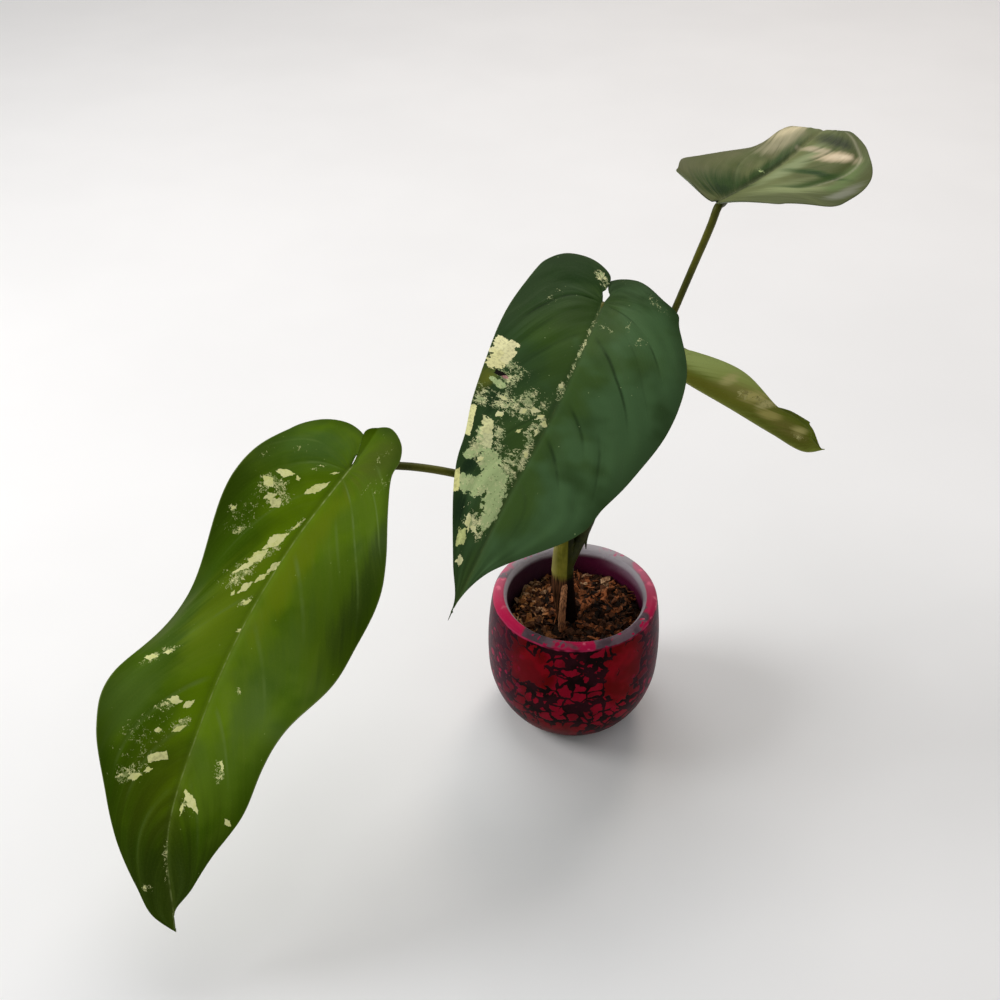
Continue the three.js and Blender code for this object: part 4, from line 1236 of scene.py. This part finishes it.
def path_mesh(name, *rods, steps=60):
    """Lines through the rods' points; each rod has radii at places from 0 to 1 along its path."""
    points, edges, thick = [], [], []
    for path, places, radii in rods:
        line = spline(path, np.linspace(0, 1, steps))
        travelled = np.append(0, np.cumsum(steps_between(line)))
        start = len(points)
        points.extend(line)
        thick.extend(np.interp(travelled / travelled[-1], places, radii) * MM)
        edges.extend((start + i, start + i + 1) for i in range(steps - 1))
    return mesh_from(name, points, [], edges, thick=thick)


def even(rod):
    path, radii = rod
    return path, np.linspace(0, 1, len(radii)), radii


OUTSIDE_PROFILE = spline(POT_OUTSIDE, np.linspace(0, 1, 110))
INSIDE_PROFILE = spline(POT_INSIDE, np.linspace(0, 1, 60))


def profile_length(point):
    """Length along the pot's profile, from the middle of its foot, to a point of its outside."""
    nearest = int(np.argmin(np.linalg.norm(OUTSIDE_PROFILE - point, axis=1)))
    return FOOT_RADIUS + steps_between(OUTSIDE_PROFILE[:nearest + 1]).sum()


RIM_START = profile_length((58.9, 104.5))
LIP_START = profile_length((51.5, 107))
INSIDE_START = profile_length((RIM_INNER, 103.5))


def make_pot():
    foot = [(0, 0), (FOOT_RADIUS - 1, 0)]
    profile = np.vstack([foot, OUTSIDE_PROFILE, INSIDE_PROFILE[1:-1], POT_INSIDE[-1]])
    points = np.stack([profile[:, 0], np.zeros(len(profile)), profile[:, 1]], -1)
    line = mesh_from("pot_profile", points, [], [(i, i + 1) for i in range(len(points) - 1)])
    pot = grown("glazed_pot_body", line, turned_tree(), Material=GlazeFinish().painted())
    weld(pot.data)
    seat(pot, "pot")


def soil_height(x, y):
    """Height of the soil: highest at the back right, uneven, falling away beyond the mound."""
    lumps = np.sin(0.31 * x + 1.3) * np.cos(0.27 * y - 0.4) + 0.6 * np.sin(0.53 * x - 0.47 * y)
    beyond = np.hypot(x - MOUND_MIDDLE[0], y - MOUND_MIDDLE[1]) - MOUND_RADIUS
    fall = SOIL_EDGE_DROP * soft_step(beyond, 0, RIM_INNER - MOUND_RADIUS)
    return SOIL_TOP + 0.05 * (x + y) + lumps - fall


def hollow(x, y):
    """How deep a place lies in the hole beside the stem, 1 at its bottom; the hole is painted black, as
    painted shade.
    """
    reach = np.hypot((x - HOLLOW_MIDDLE[0]) / HOLLOW_REACH[0], (y - HOLLOW_MIDDLE[1]) / HOLLOW_REACH[1])
    return 1 - soft_step(reach, 0.5, 1.1)


def make_soil():
    wall = INSIDE_PROFILE[INSIDE_PROFILE[:, 1] < SOIL_TOP - 2 * SOIL_EDGE_DROP] + SOIL_CLEARANCE
    pot_radius = np.interp(-SOIL_TOP, -INSIDE_PROFILE[:, 1], INSIDE_PROFILE[:, 0])
    top_radii = np.linspace(0, pot_radius + SOIL_CLEARANCE[0], SOIL_RINGS)
    radii = np.concatenate([top_radii, np.maximum(wall[:, 0], 0)])
    angle = np.linspace(0, 2 * np.pi, SOIL_SPOKES, endpoint=False)
    x, y = radii[:, None] * np.cos(angle), radii[:, None] * np.sin(angle)
    z = soil_height(x, y) - HOLLOW_DEPTH * hollow(x, y)
    z[SOIL_RINGS:] = wall[:, 1, None]
    index = np.arange(x.size).reshape(x.shape)
    a, b = index[:-1], index[1:]
    c, d = np.roll(index, -1, axis=1)[1:], np.roll(index, -1, axis=1)[:-1]
    faces = np.stack([a, b, c, d], -1).reshape(-1, 4)
    # No chips and tone 0, painted black as painted shade, in the hole and on the soil's sides down the pot
    # wall
    top = np.where(np.arange(len(radii))[:, None] < SOIL_RINGS - 2, 1 - hollow(x, y), 0).ravel()
    points = np.stack([x, y, z], -1).reshape(-1, 3)
    base = mesh_from("soil_base", points, faces.tolist(), top=top, tone=0.12 * top)
    weld(base)
    soil = grown("bark_soil_bed", base, bark_tree(), Material=bark_finish())
    soil.data.shade_flat()
    seat(soil, "soil")


def make_stem(rods):
    line = path_mesh("stem_path", even(STEM), steps=160)
    for vertex, thick in zip(line.vertices, line.attributes["thick"].data):
        rings = sum(math.exp(-((vertex.co.z / MM - ring) / STEM_RING_REACH)**2) for ring in STEM_RINGS)
        thick.value *= 1 + STEM_RING_SWELLING * rings
    stem_skin = StalkFinish("stem_green", Roughness=0.5, Specular_IOR_Level=0.06).as_stem()
    stem = grown("stem_body", line, rods, Sides=32, Material=stem_skin)
    seat(stem, "stem")
    root = grown("aerial_root_strip", path_mesh("root_path", even(AERIAL_ROOT)), rods,
                 Sides=14, Unevenness=0.7, Material=root_finish())
    seat(root, "aerial_root")


def make_petiole(name, blade, rods, material):
    """Stalk from within the stem to the joint, carried on under the blade as its midrib."""
    petiole = blade.leaf["petiole"]
    base = (*STEM_MIDDLE, petiole[0][2] - PETIOLE_BASE_DEPTH)
    _, point, _, normal = blade.frame(UNDER_BLADE_PLACES)
    rib = point - normal * (BLADE_THICKNESS + UNDER_BLADE_DEPTHS)[:, None]
    path = np.vstack([base, petiole, rib])
    length = steps_between(spline(path, np.linspace(0, 1, 400))).sum()
    joint, middle, _ = 1 - (UNDER_BLADE_PLACES[2] - UNDER_BLADE_PLACES) / length
    taper = blade.leaf.get("taper", PETIOLE_TAPER)
    places = [*np.linspace(0, joint, len(taper)), middle, 1]
    radii = [share * PETIOLE_RADIUS for share in taper] + UNDER_BLADE_RADII
    strands = [(path, places, radii)]
    if name == "upper":
        strands.append(even(SHEATH))
    line = path_mesh(f"stalk_{name}_path", *strands, steps=110)
    piece = grown(f"stalk_{name}", line, rods, Material=material)
    seat(piece, f"petiole_{name}")


# Slot, roughness, shine and colours of each leaf
# vein: light on the left leaf; dark on the others, partly painted shade in the veins' creases
LEAF_LOOKS = {
    "left": ("blade_olive", 0.45, 0.03, dict(
        deep=(0.041, 0.088, 0.0004), fresh=(0.093, 0.166, 0.0006), cool=(0.07, 0.126, 0.005),
        light=(0.11, 0.16, 0.018), vein=(0.11, 0.17, 0.035), rib=(0.3, 0.36, 0.12),
        cream=(0.66, 0.66, 0.3), yellow=(0.58, 0.6, 0.2), pale=(0.26, 0.34, 0.09),
        under=(0.16, 0.22, 0.08))),
    "centre": ("blade_dark", 0.48, 0.035, dict(
        deep=(0.035, 0.074, 0.022), fresh=(0.048, 0.094, 0.019), cool=(0.068, 0.138, 0.053),
        light=(0.065, 0.105, 0.045), vein=(0.012, 0.026, 0.008), rib=(0.1, 0.14, 0.04),
        cream=(0.8, 0.79, 0.42), yellow=(0.84, 0.84, 0.34), pale=(0.46, 0.58, 0.26),
        under=(0.14, 0.2, 0.09))),
    "upper": ("blade_grey", 0.45, 0.06, dict(
        deep=(0.085, 0.105, 0.03), fresh=(0.14, 0.165, 0.055), cool=(0.15, 0.15, 0.066),
        # rib: dark, painted shade in the midrib's groove
        light=(0.22, 0.22, 0.11), vein=(0.045, 0.07, 0.016), rib=(0.05, 0.055, 0.015),
        # fold and crest: painted shade inside the hem's fold and painted highlight on its crest
        fold=(0.03, 0.07, 0.008), crest=(0.5, 0.46, 0.33),
        cream=(0.4, 0.5, 0.2), yellow=(0.4, 0.5, 0.2), pale=(0.25, 0.32, 0.14), under=(0.16, 0.2, 0.1))),
    "young": ("blade_young", 0.45, 0.05, dict(
        deep=(0.13, 0.16, 0.014), fresh=(0.19, 0.23, 0.03), cool=(0.16, 0.19, 0.02),
        light=(0.26, 0.3, 0.07), vein=(0.08, 0.09, 0.008), rib=(0.26, 0.28, 0.08),
        cream=(0.5, 0.47, 0.18), pale=(0.36, 0.33, 0.1))),
}


def make_leaves(rods):
    stalk = StalkFinish("stalk_olive", Roughness=0.45, Specular_IOR_Level=0.14).as_stalk()
    for name, leaf in LEAVES.items():
        slot, roughness, specular, tones = LEAF_LOOKS[name]
        blade = Blade(leaf)
        finish = LeafFinish(f"leaf_{name}_green", leaf, blade.length, tones, roughness, specular)
        piece = piece_from(f"blade_{name}", closed_blade(f"blade_{name}", blade), finish.painted())
        seat(piece, f"leaf_{name}")
        make_petiole(name, blade, rods, stalk)


# Stage

FLOOR_REACH = 6000
DAYLIGHT = 0.38
# Place and aim in metres, size in metres, power in watts, colour
LIGHTS = {
    "left_window": ((-1.6, 0.0, 1.3), (0, 0, 0.2), 0.9, 17, (1, 1, 1)),
    "overhead": ((-0.2, 0.7, 2.0), (0, 0, 0.2), 1.4, 12, (1, 1, 1)),
    "back_window": ((0.7, 1.9, 2.0), (0.15, 0.1, 0.35), 0.9, 14, (1, 0.88, 0.8)),
}
CAMERA_PLACE = (-0.054, -0.757905, 0.761867)
CAMERA_TILT = 53          # degrees up from straight down
CAMERA_LENS = 50
CAMERA_SENSOR = 36


def make_floor():
    f = Finish("floor_paper", Roughness=0.9, Specular_IOR_Level=0.1)
    paper = f.noise(f.object_place(), 3.0)
    f.colour(f.tinted((0.88, 0.88, 0.88), (0.91, 0.91, 0.91), paper, 0.3, 0.7))
    turns = ((-1, -1), (1, -1), (1, 1), (-1, 1))
    corners = [(x * FLOOR_REACH, y * FLOOR_REACH, 0) for x, y in turns]
    floor = piece_from("floor", mesh_from("floor", corners, [(0, 1, 2, 3)]), f.material)


def make_light(name, place, target, size, power, colour):
    data = bpy.data.lights.new(name, "AREA")
    data.shape = "DISK"
    data.size = size
    data.energy = power
    data.color = colour
    light = bpy.data.objects.new(name, data)
    bpy.context.scene.collection.objects.link(light)
    light.location = place
    x, y, z = np.array(target) - np.array(place)
    light.rotation_euler = (math.atan2(math.hypot(x, y), -z), 0, math.atan2(-x, y))


def make_stage():
    make_floor()
    world = bpy.data.worlds.new("studio")
    bpy.context.scene.world = world
    world.use_nodes = True
    background = world.node_tree.nodes["Background"]
    background.inputs["Color"].default_value = (1, 1, 1, 1)
    background.inputs["Strength"].default_value = DAYLIGHT
    for name, settings in LIGHTS.items():
        make_light(name, *settings)
    bpy.context.scene.view_settings.view_transform = "Standard"


def make_camera():
    """At the photo's angle: 37 degrees down along +Y, with a 50 mm lens."""
    data = bpy.data.cameras.new("photo_view")
    data.lens = CAMERA_LENS
    data.sensor_width = CAMERA_SENSOR
    camera = bpy.data.objects.new("photo_view", data)
    bpy.context.scene.collection.objects.link(camera)
    camera.location = CAMERA_PLACE
    camera.rotation_euler = (math.radians(CAMERA_TILT), 0, 0)
    bpy.context.scene.camera = camera


make_camera()
make_stage()
make_pot()
make_soil()
rods_along_paths = rod_tree()
make_stem(rods_along_paths)
make_leaves(rods_along_paths)
